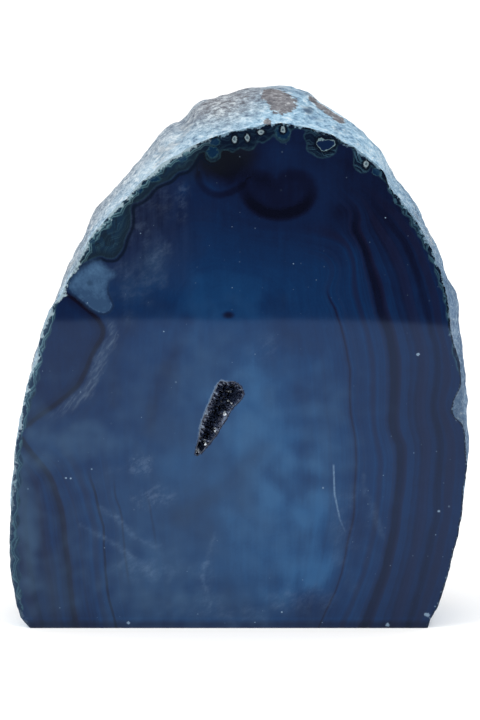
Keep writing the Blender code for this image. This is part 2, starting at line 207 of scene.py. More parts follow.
# Edge of the teal zone under the rind, from the base up the left side, over and down the right,
# and the corners that close it outside the stone
TEAL_EDGE = pairs(
    -54.5, -0.5, -54.8, 1.1, -55.5, 3.1, -54.8, 5.2, -55.6, 7, -55, 9.1, -55.9, 11.2, -55.2, 13.5,
    -56.2, 15.8, -55.4, 18.1, -56.4, 20.5, -55.5, 22.8, -56.3, 25.1, -55.3, 27.7, -56.1, 30.2,
    -55.2, 32.6, -55.8, 35.1, -54.8, 37.7, -55.3, 40.2, -54.4, 42.8, -55.1, 45.3, -54.5, 47.6,
    -54.7, 49.9, -53.4, 52.2, -53.4, 54.5, -52.4, 56.5, -52.1, 58.6, -51.1, 60.3, -51.1, 62.4,
    -50, 64.1, -50.3, 66.2, -49.4, 68.2, -49.5, 70.2, -48.5, 72, -48.3, 73.7, -47.2, 75.5,
    -47, 77.5, -46.1, 79.5, -46, 81.6, -44.9, 83.8, -43.8, 86.1, -42.6, 88.3, -41.6, 90.2,
    -39.6, 92.6, -37.8, 93.6, -34.9, 94.8, -33.1, 94.3, -31.3, 94.3, -30.3, 95.2, -29.2, 96.8,
    -28.6, 99.1, -27.3, 102.1, -27.1, 104.3, -27, 107.6, -25.3, 108.3, -23.1, 109.8, -21.2, 112,
    -19.3, 113.1, -17.3, 113.9, -15.4, 115.7, -13.1, 116.4, -11.3, 118.5, -10.1, 120.4,
    -8.7, 120.7, -8.4, 119.2, -6.7, 118.2, -4.9, 119.2, -4.7, 120.9, -3, 121.2, -1.7, 120.7,
    0, 121.8, 1.9, 121.2, 3.5, 121.8, 4.2, 123.4, 5.7, 123, 7.6, 124.2, 8.6, 125.1, 9, 123.9,
    10.6, 122.9, 12.1, 123.7, 12.4, 125.6, 13.6, 126.5, 15.6, 126.3, 16.3, 125.9, 15.7, 124.5,
    16.5, 122.9, 16.5, 121.2, 18.2, 120, 20, 119.2, 22.3, 119.6, 23.7, 120.7, 24.2, 122.6,
    26.1, 122.9, 27.9, 121.4, 28.2, 119.6, 28.2, 117.3, 29.5, 115.7, 31.4, 115.7, 32.6, 117.3,
    33.7, 115.7, 34.9, 114.3, 36.4, 112.8, 36.7, 111, 37.9, 109.8, 38.2, 108.1, 39.9, 107.1,
    40.4, 105.3, 42.2, 104.3, 42.2, 102.6, 43.5, 101.6, 44.2, 99.8, 45.2, 98.8, 45.7, 96.8,
    46.7, 95.8, 47, 93.8, 48.3, 92.8, 48.5, 90.8, 49.3, 89.3, 49.6, 87.3, 50.6, 85.8, 50.6, 83.8,
    51.4, 82.1, 51.4, 79.8, 52.2, 77.8, 52.2, 75.5, 53, 73.2, 53, 70.7, 53.8, 68.7, 54.4, 66.2,
    55.6, 64, 54.6, 58.6, 54.6, 54.4, 56.8, 51.4, 57.4, 42, 56.4, 28, 54, 17.4, 49.6, 3, 46, -3,
)
TEAL_EDGE_CLOSING = [(80.0, -20.0), (80.0, 160.0), (-80.0, 160.0), (-80.0, -20.0)]
TEAL_EDGE_STEPS = 5
LINE_STEPS = 3
PALE_PATCH = pairs(
    -42.6, 87.1, -40.8, 90.3, -38.4, 92.6, -35.3, 93.7, -33.1, 91.8, -30.9, 90.3, -32.4, 89.3,
    -33.1, 88.3, -33.4, 86.8, -33.1, 85.3, -32, 82.9, -32.2, 81.4, -33.9, 80.4, -36.2, 81.1,
    -38.5, 82.9, -40.6, 84.8,
)
DARK_LOBES = pairs(
    0.2, 112.3, 0.5, 114.3, 2.2, 115.5, 4.5, 115.9, 6.4, 115.5, 7.9, 114.6, 8.9, 113.9, 10.2, 115,
    11.9, 115.9, 14.1, 116, 16.3, 115.3, 17.8, 113.8, 18.6, 111.5, 18.1, 108.8, 16.6, 106.6,
    14.1, 105.1, 10.9, 104.4, 7.4, 104.6, 4.2, 105.8, 1.7, 108.1, 0.4, 110.3,
)
# The arc beside the lobes, and the two halves of the dark fold on the left, which meet the rim
LOBE_ARC = pairs(
    -9.9, 114.8, -9.2, 112.8, -7.7, 111.3, -5.7, 110.5, -3.7, 110.7, -2, 111.3, -0.5, 112.2,
    0.5, 113,
)
UPPER_FOLD = pairs(
    -44.3, 86.3, -43.3, 85.6, -40.6, 83.6, -38.1, 81.6, -35.9, 79.5, -34.7, 77.8, -34.2, 76,
    -34.6, 74, -35.7, 72.2, -37, 69.5, -38, 66.9, -39, 64.7, -40.3, 62.4, -42.1, 60.6, -44.3, 58.8,
    -46.9, 56.8, -49.4, 55, -51.4, 53.5, -52.9, 52.2,
)
LOWER_FOLD = pairs(
    -54.5, 48.9, -53.2, 46.9, -52, 45.1, -50.3, 43, -48.5, 40.7, -47, 37.9, -46.1, 35.1,
    -45.1, 31.8, -44.2, 27.2, -43.7, 21.8, -43.2, 17.1, -42.7, 11.7, -42, 6.3, -41.1, 0.3,
    -40.8, -1.5,
)

# How far apart and how strongly the edges of the broad places and of the hazes wander
SWAY_PITCHES = (9.0, 4.5)
SWAY_SHARES = (0.4, 0.2)
# Broad light and dark places: (middle, reach, change of tone)
ZONES = [
    ((6, 50), (15, 24), 0.3),
    ((7, 22), (18, 22), 0.24),
    ((21, 46), (8, 26), 0.14),
    ((-4, 82), (18, 12), 0.08),
    ((-20, 57), (4.5, 15), -0.08),
    ((-17, 66), (3, 12), -0.09),
    ((-3, 9), (7, 8), -0.12),
    ((-9, 25), (6, 6), -0.1),
    ((17, 5), (9, 5), -0.14),
    ((24, 105.2), (5, 3.4), -0.14),
    ((24, 99), (6, 8), -0.08),
    ((-3.5, 117), (9.5, 7), -0.22),
    ((-4, 116), (7.5, 5.5), -0.2),
    ((5.5, 113.4), (4.2, 2.6), -0.14),
    ((10, 120), (5, 4), 0.1),
    ((10, 77), (7, 7), -0.1),
    ((-24, 106), (12, 10), -0.14),
    ((26, 117), (5, 4), -0.06),
    ((19, 22), (4.5, 16), 0.2),
    ((14, 35.5), (4.5, 6), 0.14),
    ((1.5, 34), (4.5, 7), -0.2),
    ((-17, 41), (5.5, 7), 0.14),
    ((13.5, 57), (4.5, 7), -0.14),
    ((27, 14), (9, 15), 0.07),
    ((2, 4), (9, 4), -0.1),
    ((-18, 82), (8, 6), -0.12),
    ((8.5, 83.5), (4.5, 4), -0.13),
    ((-28, 77), (5, 5), -0.14),
    ((8, 59.5), (3, 4.5), -0.12),
    ((13.5, 40), (4, 7), 0.14),
    ((13.5, 12), (4.5, 7), 0.15),
    ((19.5, 25), (4.5, 6), 0.1),
    ((-22.5, 20), (5, 12), 0.09),
]
# Soft slanting streaks, dark but for the last: (points, half width, change of tone)
SHADES = [
    ((-13.2, 78.5), (-16, 71), (-20, 63.2), (-23.5, 50.4), 3.2, -0.12),
    ((-30.4, 74), (-31.7, 57.6), 2.6, -0.08),
    ((5.5, 46.3), (-3.7, 36.2), (-15, 28.5), 4, -0.15),
    ((-10.5, 118), (-13.6, 112.8), (-17.2, 104), 2.2, 0.07),
]
# Milky haze: (middle, reach, share)
HAZES = [
    ((-10, 34), (38, 44), 0.2),
    ((-42, 48), (12, 6), 0.26),
    ((-24, 12), (12, 13), 0.22),
    ((-5, 6), (20, 7), 0.16),
    ((3, 45), (9, 24), 0.12),
    ((22, 46), (7, 24), 0.14),
    ((-9, 66), (8, 11), 0.1),
    ((-21.5, 93), (4.5, 6), 0.16),
    ((-27, 87), (6, 6), 0.1),
    ((-51, 48), (5, 13), 0.18),
    ((-54, 27), (4, 22), 0.36),
    ((-47, 9), (10, 15), 0.14),
]
# Pale grains in clouds: (middle, reach, share)
DUSTS = [
    ((-21, 94), (4.5, 6.5), 0.15),
    ((-27, 87), (6, 7), 0.09),
    ((-26.1, 41.5), (6, 3), 0.25),
    ((-21.9, 33.8), (6.8, 3.2), 0.25),
    ((-23, 15), (8, 5), 0.14),
    ((-8.5, 11), (3.5, 8), 0.1),
    ((16, 8), (10, 4), 0.13),
    ((-4, 4), (16, 3), 0.1),
    ((27, 25), (6, 13), 0.08),
    ((7, 71), (4, 4), 0.1),
    ((-29, 104), (6, 7), 0.1),
    ((-14.4, 110.5), (1.7, 8), 0.16),
    ((-20, 108), (5, 6), 0.08),
]
# Small pale chips and motes: (middle, radius)
CHIPS = [
    ((-28.3, 1.3), 0.5), ((47.4, 3.4), 0.8), ((37.4, 0.9), 0.6), ((44.5, 70.1), 0.5),
    ((-43.8, 38.7), 0.3), ((50.1, 30.2), 0.4), ((-42.6, 38.6), 0.3),
]
# Scratches and pale smears: (start, end, half width, share)
STROKES = [
    ((-35.3, 31), (-31, 28.4), 1.1, 0.16),
    ((-31, 28.4), (-27, 23.8), 1.2, 0.22),
    ((-27, 23.8), (-20.5, 21), 1.1, 0.14),
    ((-40.2, 26.6), (-34.4, 23.4), 0.8, 0.14),
    ((-34.4, 23.4), (-27.7, 18.9), 1.1, 0.22),
    ((-27.7, 18.9), (-21.5, 13), 1.7, 0.16),
    ((-6.6, 23.8), (-8.7, 16.9), 0.9, 0.13),
    ((-8.7, 16.9), (-9.6, 13.5), 0.7, 0.22),
    ((-9.6, 13.5), (-7.4, 5.7), 0.8, 0.16),
    ((31, 39.5), (31.7, 34.3), 0.8, 0.14),
    ((33.4, 31.7), (35.8, 24), 1.3, 0.12),
]

# Where the parts of the stone's surface lie in its UV map
UV_PER_MM = 0.61 / 118.0
UV_SHIFT = (59.0, 30.0)
UV_RIND_FLOOR = 0.73
UV_POCKET = (0.65, 0.02, 0.3, 0.28)
UV_BASE = (0.65, 0.36)
UV_BASE_PER_MM = 0.5 * UV_PER_MM

SEED = 7


def smooth_closed(points, steps):
    """Points of a closed Catmull-Rom curve through the given ones, steps to each span."""
    corners = np.array(points, float)
    before = np.roll(corners, 1, axis=0)
    after = np.roll(corners, -1, axis=0)
    beyond = np.roll(corners, -2, axis=0)
    curve = []
    for a, b, c, d in zip(before, corners, after, beyond):
        for t in np.arange(steps) / steps:
            curve.append(
                b
                + 0.5 * t * (c - a)
                + t**2 * (a - 2.5 * b + 2.0 * c - 0.5 * d)
                + t**3 * (1.5 * b - 0.5 * a - 1.5 * c + 0.5 * d)
            )
    return np.array(curve)


def radius_at(outline, centre, angles, steps=OUTLINE_STEPS):
    """The radius of an outline round a centre, at each of the angles."""
    curve = smooth_closed(outline, steps) - np.array(centre)
    known = np.arctan2(curve[:, 1], curve[:, 0])
    order = np.argsort(known)
    return np.interp(angles, known[order], np.hypot(*curve[order].T), period=FULL_TURN)


def smooth_step(value):
    value = min(max(value, 0.0), 1.0)
    return value * value * (3.0 - 2.0 * value)


def lump(point):
    place = point / LUMP_PITCH
    return noise.noise(place) + LUMP_DETAIL * noise.noise(place * 2.0)


def knob(point):
    nearest = noise.voronoi(point / KNOB_PITCH)[0]
    return smooth_step((nearest[1] - nearest[0]) / KNOB_SHOULDER)


def rind_relief(point):
    """The CAD's own relief of the rind, in millimetres."""
    depth = point.y - FACE_Y
    grown = smooth_step((depth - WAIST_DEPTH) / RELIEF_GROWS_OVER)
    share = smooth_step(depth / RIM_FADE) * (FLANK_RELIEF + (1.0 - FLANK_RELIEF) * grown)
    relief = share * (LUMP_HEIGHT * lump(point) + KNOB_HEIGHT * (knob(point) - KNOB_MEAN))
    for x, y, z, radius, deep in PITS:
        relief -= deep * (1.0 - smooth_step(math.dist(point, (x, y, z)) / radius))
    return relief


def fine_relief(point):
    """The rind's grain, too fine for the CAD: small bumps and shallow pits, in millimetres."""
    relief = sum(height * noise.noise(point / pitch) for height, pitch in FINE_RELIEF)
    away = noise.voronoi(point / PITTING_PITCH)[0][0]
    relief -= PITTING_DEPTH * (1.0 - smooth_step(away / PITTING_RADIUS))
    return relief * smooth_step((point.y - FACE_Y) / FINE_FADE)


def back_profile(turn):
    """The rounded back as (share of the waist's radius, share of the depth behind the waist)."""
    power = 2.0 / BACK_FULLNESS
    return max(math.cos(turn), 0.0) ** power, math.sin(turn) ** power


def rind_rises():
    """Places of the rind's rings, and how far along the rind each is.

    A place is 0 at the face, 1 at the waist and 2 at the pole of the back.
    """
    even = np.arange(FLANK_DEPTHS[-1] + FLANK_SPACING, WAIST_DEPTH - WAIST_GAP, FLANK_SPACING)
    flank = np.array(FLANK_DEPTHS + list(even)) / WAIST_DEPTH
    turns = np.linspace(0.0, QUARTER_TURN, PROFILE_STEPS)
    profile = np.array([back_profile(turn) for turn in turns])
    sides = np.diff(profile, axis=0) * np.array([FACE_CENTRE[1], BACK_Y - FACE_Y - WAIST_DEPTH])
    lengths = np.concatenate([[0.0], np.cumsum(np.hypot(sides[:, 0], sides[:, 1]))])
    places = np.arange(0.0, lengths[-1] - POLE_GAP, BACK_SPACING)
    back = 1.0 + np.interp(places, lengths, turns) / QUARTER_TURN
    whole = WAIST_DEPTH + lengths[-1]
    along = np.concatenate([flank * WAIST_DEPTH, WAIST_DEPTH + places]) / whole
    return list(zip(np.concatenate([flank, back]), along))


def ring_angles(count):
    return FULL_TURN * np.arange(count) / count


def rim_chips(x, z):
    """How far the rim stands out at each of its points, in millimetres."""
    chips = []
    for place in zip(x, z):
        point = Vector((place[0], 0.0, place[1]))
        chip = RIM_CHIP * noise.noise(point / RIM_CHIP_PITCH)
        chips.append(chip + sum(height * noise.noise(point / pitch) for height, pitch in FINE_CHIPS))
    return np.array(chips)


def rind_ring(count, rise):
    """One ring of the rind, as an array of points in millimetres."""
    angles = ring_angles(count)
    rim = radius_at(FACE_RIM, FACE_CENTRE, angles)
    waist = radius_at(WAIST, FACE_CENTRE, angles)
    if rise <= 1.0:
        depth = WAIST_DEPTH * rise
        radii = rim + (waist - rim) * math.sin(QUARTER_TURN * rise)
        lean = 0.0
    else:
        turn = QUARTER_TURN * (rise - 1.0)
        across, back = back_profile(turn)
        depth = WAIST_DEPTH + (BACK_Y - FACE_Y - WAIST_DEPTH) * back
        radii = waist * across
        lean = math.sin(turn)
    x = FACE_CENTRE[0] + rim * np.cos(angles)
    z = FACE_CENTRE[1] + rim * np.sin(angles)
    if depth < RIM_CHIP_FADE:
        radii = radii + rim_chips(x, z) * (1.0 - depth / RIM_CHIP_FADE)
    ring = []
    for angle, radius in zip(angles, radii):
        out = Vector((math.cos(angle), 0.0, math.sin(angle)))
        middle = Vector((FACE_CENTRE[0], FACE_Y + depth, FACE_CENTRE[1]))
        point = middle + out * radius
        out = (out * (1.0 - lean) + Vector((0.0, lean, 0.0))).normalized()
        ring.append(point + out * (rind_relief(point) + fine_relief(point)))
    return np.array(ring)


def face_ring(count, share):
    """One ring of the face: share runs from 0 at the rim to 1 at the vug."""
    angles = ring_angles(count)
    rim = radius_at(FACE_RIM, FACE_CENTRE, angles)
    x = FACE_CENTRE[0] + rim * np.cos(angles)
    z = FACE_CENTRE[1] + rim * np.sin(angles)
    rim = rim + rim_chips(x, z) * (1.0 - share) ** RIM_CHIP_POWER
    vug = radius_at(VUG_OUTLINE, VUG_CENTRE, angles, 4 * OUTLINE_STEPS)
    radii = rim + (vug - rim) * share
    middle = np.array(FACE_CENTRE) + (np.array(VUG_CENTRE) - np.array(FACE_CENTRE)) * share
    ring = np.empty((count, 3))
    ring[:, 0] = middle[0] + radii * np.cos(angles)
    ring[:, 1] = FACE_Y
    ring[:, 2] = middle[1] + radii * np.sin(angles)
    return ring


def vug_ring(mouth, depth, width, inset):
    """A section of the vug: its mouth drawn in towards the vug's middle line."""
    start = np.array(VUG_SPINE[0])
    along = np.array(VUG_SPINE[1]) - start
    share = np.clip((mouth - start) @ along / (along @ along), 0.0, 1.0)
    middle = start + share[:, None] * along
    out = mouth - middle
    reach = np.hypot(out[:, 0], out[:, 1])[:, None]
    place = middle + out / reach * np.maximum(reach * width - inset, reach * NARROWEST)
    return np.stack([place[:, 0], np.full(len(place), FACE_Y + depth), place[:, 1]], axis=1)


class Skin:
    """Rings of points joined by faces, with a material number and a UV point for each corner."""

    def __init__(self):
        self.points = []
        self.faces = []
        self.corners = []
        self.kinds = []

    def ring(self, places, uvs, turn=0.0):
        """Adds a ring, and gives its points, their UV points and the UV map's width of one turn."""
        first = len(self.points)
        self.points.extend(places)
        return list(range(first, first + len(places))), list(uvs), turn

    def face(self, corners, kind):
        self.faces.append([corner[0] for corner in corners])
        self.corners.extend(corner[1] for corner in corners)
        self.kinds.append(kind)

    def bridge(self, front, back, kind):
        """Joins two rings of the same size, or one to the next that has half its points."""
        count = len(front[0])

        def corner(ring, here):
            points, uvs, turn = ring
            u, v = uvs[here % len(points)]
            return points[here % len(points)], (u + turn * (here // len(points)), v)

        for here in range(count):
            joined = [corner(front, here), corner(front, here + 1)]
            if len(back[0]) == count:
                joined += [corner(back, here + 1), corner(back, here)]
            elif here % 2 == 0:
                joined += [corner(back, here // 2)]
            else:
                joined += [corner(back, here // 2 + 1), corner(back, here // 2)]
            self.face(joined, kind)


FACE, RIND, BASE, POCKET = range(4)


def flat_uv(places):
    return [((x + UV_SHIFT[0]) * UV_PER_MM, max(z, 0.0) * UV_PER_MM) for x, z in places[:, [0, 2]]]


def halved(share):
    """How many points a ring has whose radius is this share of the first one's."""
    return POINTS_ROUND // 2 ** sum(share < limit for limit in HALVE_BELOW)


def build_skin():
    """The whole outside of the stone, still closed below the base plane."""
    skin = Skin()
    insets = [RIM_SPACING * step for step in range(RIM_RINGS)]
    insets += list(np.arange(insets[-1] + FACE_SPACING, FACE_SPAN, FACE_SPACING)) + [FACE_SPAN]
    rim_places = face_ring(POINTS_ROUND, 0.0)
    rim = skin.ring(rim_places, flat_uv(rim_places))
    front = rim
    for inset in insets[1:]:
        share = inset / FACE_SPAN
        places = face_ring(halved(1.0 - share), share)
        back = skin.ring(places, flat_uv(places))
        skin.bridge(front, back, FACE)
        front = back

    left, bottom, wide, tall = UV_POCKET
    mouth = np.array(skin.points[front[0][0] : front[0][-1] + 1])[:, [0, 2]]
    count = len(mouth)
    across = [left + wide * step / count for step in range(count)]
    front = (front[0], [(u, bottom) for u in across], wide)
    for depth, width in POCKET_ROWS:
        up = bottom + tall * depth / POCKET_ROWS[-1][0]
        back = skin.ring(vug_ring(mouth, depth, width, 0.0), [(u, up) for u in across], wide)
        skin.bridge(front, back, POCKET)
        front = back
    skin.face(list(zip(front[0], front[1])), POCKET)

    front = (rim[0], [(step / POINTS_ROUND, UV_RIND_FLOOR) for step in range(POINTS_ROUND)], 1.0)
    for rise, along in rind_rises():
        shrunk = back_profile(QUARTER_TURN * max(rise - 1.0, 0.0))[0]
        count = min(halved(shrunk), len(front[0]))
        up = UV_RIND_FLOOR + (1.0 - UV_RIND_FLOOR) * along
        places = rind_ring(count, rise)
        back = skin.ring(places, [(step / count, up) for step in range(count)], 1.0)
        skin.bridge(front, back, RIND)
        front = back
    pole, *_ = skin.ring(rind_ring(4, 2.0)[:1], [(0.5, 1.0)])
    count = len(front[0])
    for here in range(count):
        ahead = (here + 1) % count
        u = front[1][here][0]
        corners = [
            (front[0][here], front[1][here]),
            (front[0][ahead], (u + 1.0 / count, front[1][here][1])),
            (pole[0], (u + 0.5 / count, 1.0)),
        ]
        skin.face(corners, RIND)
    return skin, rim_places[:, [0, 2]]


def distance_to(places, line, closed=True):
    """How far each place is from a line of points, both as (x, z)."""
    return abs(side_distance(places, line, closed))


def side_distance(places, line, closed=False):
    """Distance to a line of points, negative on its right-hand side as it runs."""
    starts = np.array(line, float)
    ends = np.roll(starts, -1, axis=0)
    if not closed:
        starts, ends = starts[:-1], ends[:-1]
    nearest = np.full(len(places), np.inf)
    for start, side in zip(starts, ends - starts):
        share = np.clip((places - start) @ side / max(side @ side, 1e-9), 0.0, 1.0)
        away = places - start - share[:, None] * side
        turn = side[0] * (places[:, 1] - start[1]) - side[1] * (places[:, 0] - start[0])
        distance = np.hypot(away[:, 0], away[:, 1]) * np.where(turn < 0.0, -1.0, 1.0)
        nearest = np.where(abs(distance) < abs(nearest), distance, nearest)
    return nearest


def inside(places, outline):
    """Whether each place is inside a closed outline."""
    x, z = places[:, 0], places[:, 1]
    within = np.zeros(len(places), bool)
    starts = np.array(outline, float)
    for (x0, z0), (x1, z1) in zip(starts, np.roll(starts, -1, axis=0)):
        if z0 == z1:
            continue
        crosses = (z0 > z) != (z1 > z)
        within ^= crosses & (x < (x1 - x0) * (z - z0) / (z1 - z0) + x0)
    return within


def smooth_open(points, steps):
    """Points of an open Catmull-Rom curve through the given ones."""
    ends = [points[0], *points, points[-1]]
    curve = smooth_closed(ends, steps)
    return curve[steps : steps * (len(points)) + 1]


def kernel(places, centres):
    """Thin-plate kernel between each place and each centre."""
    squared = ((places[:, None, :] - centres[None, :, :]) ** 2).sum(axis=2)
    return 0.5 * squared * np.log(np.maximum(squared, 1e-12))


def band_field(places, rim):
    """How deep under the rind, along the growth bands, each place of the face lies."""
    centres = []
    depths = []
    for x, z in rim[:: POINTS_ROUND // RIM_GUIDES]:
        held = all(math.dist((x, z), middle) > reach for middle, reach in RIM_PINCHES)
        if held and z > RIM_GUIDES_ABOVE:
            centres.append((x, z))
            depths.append(0.0)
    for depth, guide in BAND_GUIDES:
        centres.extend(guide)
        depths.extend([depth] * len(guide))
    centres = np.array(centres)
    count = len(centres)
    system = np.zeros((count + 3, count + 3))
    system[:count, :count] = kernel(centres, centres) + BAND_SMOOTHING * np.eye(count)
    system[:count, count] = 1.0
    system[:count, count + 1 :] = centres
    system[count:, :count] = system[:count, count:].T
    weights = np.linalg.solve(system, np.concatenate([depths, np.zeros(3)]))
    field = np.empty(len(places))
    for first in range(0, len(places), PLACES_AT_ONCE):
        part = places[first : first + PLACES_AT_ONCE]
        plane = weights[count] + part @ weights[count + 1 :]
        field[first : first + len(part)] = kernel(part, centres) @ weights[:count] + plane
    return field


def signed(places, outline, steps=6):
    """Distance to a closed outline, positive inside it."""
    curve = smooth_closed(outline, steps)
    return distance_to(places, curve) * np.where(inside(places, curve), 1.0, -1.0)


def fall(values, full, gone):
    """1 up to full and 0 from gone on, smooth between."""
    share = np.clip((gone - values) / (gone - full), 0.0, 1.0)
    return share * share * (3.0 - 2.0 * share)


def sway(places, pitch):
    """A small random number for each place, which changes smoothly over the pitch."""
    broad, close = SWAY_SHARES
    points = [Vector((x, 0.0, z)) / pitch for x, z in places]
    return np.array([broad * noise.noise(point) + close * noise.noise(point * 2.0) for point in points])


def spots(places, table, offset, full, gone):
    """How strongly each soft ellipse of a table covers each place."""
    for middle, reach, share in table:
        away = np.hypot(*((places - middle) / reach).T) + offset
        yield share * fall(away, full, gone)


def lines(places, table, offset, full):
    """How strongly each soft stroke of a table covers each place."""
    for *points, half, share in table:
        yield share * fall(distance_to(places, points, closed=False) + offset, full, half)


def overlaid(covers):
    """What is covered in all by covers laid one over another."""
    left = 1.0
    for cover in covers:
        left = left * (1.0 - cover)
    return 1.0 - left


def face_fields(places, rim):
    """What the face's material reads at each place: distances in millimetres, then four shares."""
    edge = smooth_open(TEAL_EDGE, TEAL_EDGE_STEPS)
    zone = inside(places, np.vstack([edge, TEAL_EDGE_CLOSING]))
    folds = [side_distance(places, smooth_open(half, LINE_STEPS)) for half in (UPPER_FOLD, LOWER_FOLD)]
    broad, close = (sway(places, pitch) for pitch in SWAY_PITCHES)
    return {
        "band": band_field(places, rim),
        "rim": distance_to(places, rim),
        "zone": distance_to(places, edge, closed=False) * np.where(zone, -1.0, 1.0),
        "patch": signed(places, PALE_PATCH),
        "lobes": signed(places, DARK_LOBES),
        "arc": side_distance(places, smooth_open(LOBE_ARC, LINE_STEPS)),
        "fold": np.where(abs(folds[0]) < abs(folds[1]), *folds),
        "vug": -signed(places, VUG_OUTLINE, OUTLINE_STEPS),
        "shade": sum(spots(places, ZONES, broad, 0.1, 1.2))
        + sum(lines(places, SHADES, 2.0 * broad, 0.2)),
        "haze": overlaid(spots(places, HAZES, close, -0.1, 1.3)),
        "dust": overlaid(spots(places, DUSTS, 2.0 * close, 0.2, 1.2)),
        "stroke": overlaid(lines(places, STROKES, 0.8 * close, 0.0)),
    }


def build_stone():
    skin, rim = build_skin()
    points = np.array(skin.points)
    low, high = (np.array(corner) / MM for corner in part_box("agate_slab"))
    above = points[:, 2] > 0.0
    points[above] = np.clip(points[above], low, high)
    points[:, :2] = np.clip(points[:, :2], low[:2], high[:2])
    data = bpy.data.meshes.new("agate_stone")
    data.from_pydata(points * MM, [], skin.faces)
    data.polygons.foreach_set("material_index", skin.kinds)
    uv = data.uv_layers.new(name="OFBake")
    uv.data.foreach_set("uv", np.array(skin.corners, np.float32).ravel())
    on_face = points[:, 1] < FACE_Y + CUT_TOLERANCE / MM
    fields = face_fields(points[on_face][:, [0, 2]], rim)
    for name, values in fields.items():
        whole = np.zeros(len(points), np.float32)
        whole[on_face] = values
        data.attributes.new(name, "FLOAT", "POINT").data.foreach_set("value", whole)
    cut_base(data)
    return add_object("agate_stone", data)


def cut_base(data):
    """Cuts the skin off flat at z = 0, closes it there, and keeps the edges between its parts sharp."""
    mesh = bmesh.new()
    mesh.from_mesh(data)
    cut = bmesh.ops.bisect_plane(
        mesh,
        geom=mesh.verts[:] + mesh.edges[:] + mesh.faces[:],
        dist=CUT_TOLERANCE,
        plane_co=(0.0, 0.0, 0.0),
        plane_no=(0.0, 0.0, -1.0),
        clear_outer=True,
    )
    edges = [item for item in cut["geom_cut"] if isinstance(item, bmesh.types.BMEdge)]
    filled = bmesh.ops.holes_fill(mesh, edges=edges, sides=0)
    uv = mesh.loops.layers.uv["OFBake"]
    for face in filled["faces"]:
        face.material_index = BASE
        for corner in face.verts:
            corner.co.z = 0.0
        for loop in face.loops:
            x, y = loop.vert.co.x / MM + UV_SHIFT[0], loop.vert.co.y / MM + UV_SHIFT[1]
            loop[uv].uv = (UV_BASE[0] + x * UV_BASE_PER_MM, UV_BASE[1] + y * UV_BASE_PER_MM)
    bmesh.ops.recalc_face_normals(mesh, faces=mesh.faces)
    for face in mesh.faces:
        face.smooth = True
    for edge in mesh.edges:
        kinds = {face.material_index for face in edge.link_faces}
        edge.smooth = len(kinds) == 1
    mesh.to_mesh(data)
    mesh.free()


class Value:
    """A number, vector or colour in a graph, with the sums and products of graphs."""

    def __init__(self, graph, socket):
        self.graph = graph
        self.socket = socket

    def __add__(self, other):
        return self.graph.math("ADD", self, other)

    def __radd__(self, other):
        return self.graph.math("ADD", other, self)

    def __sub__(self, other):
        return self.graph.math("SUBTRACT", self, other)

    def __rsub__(self, other):
        return self.graph.math("SUBTRACT", other, self)

    def __mul__(self, other):
        return self.graph.math("MULTIPLY", self, other)


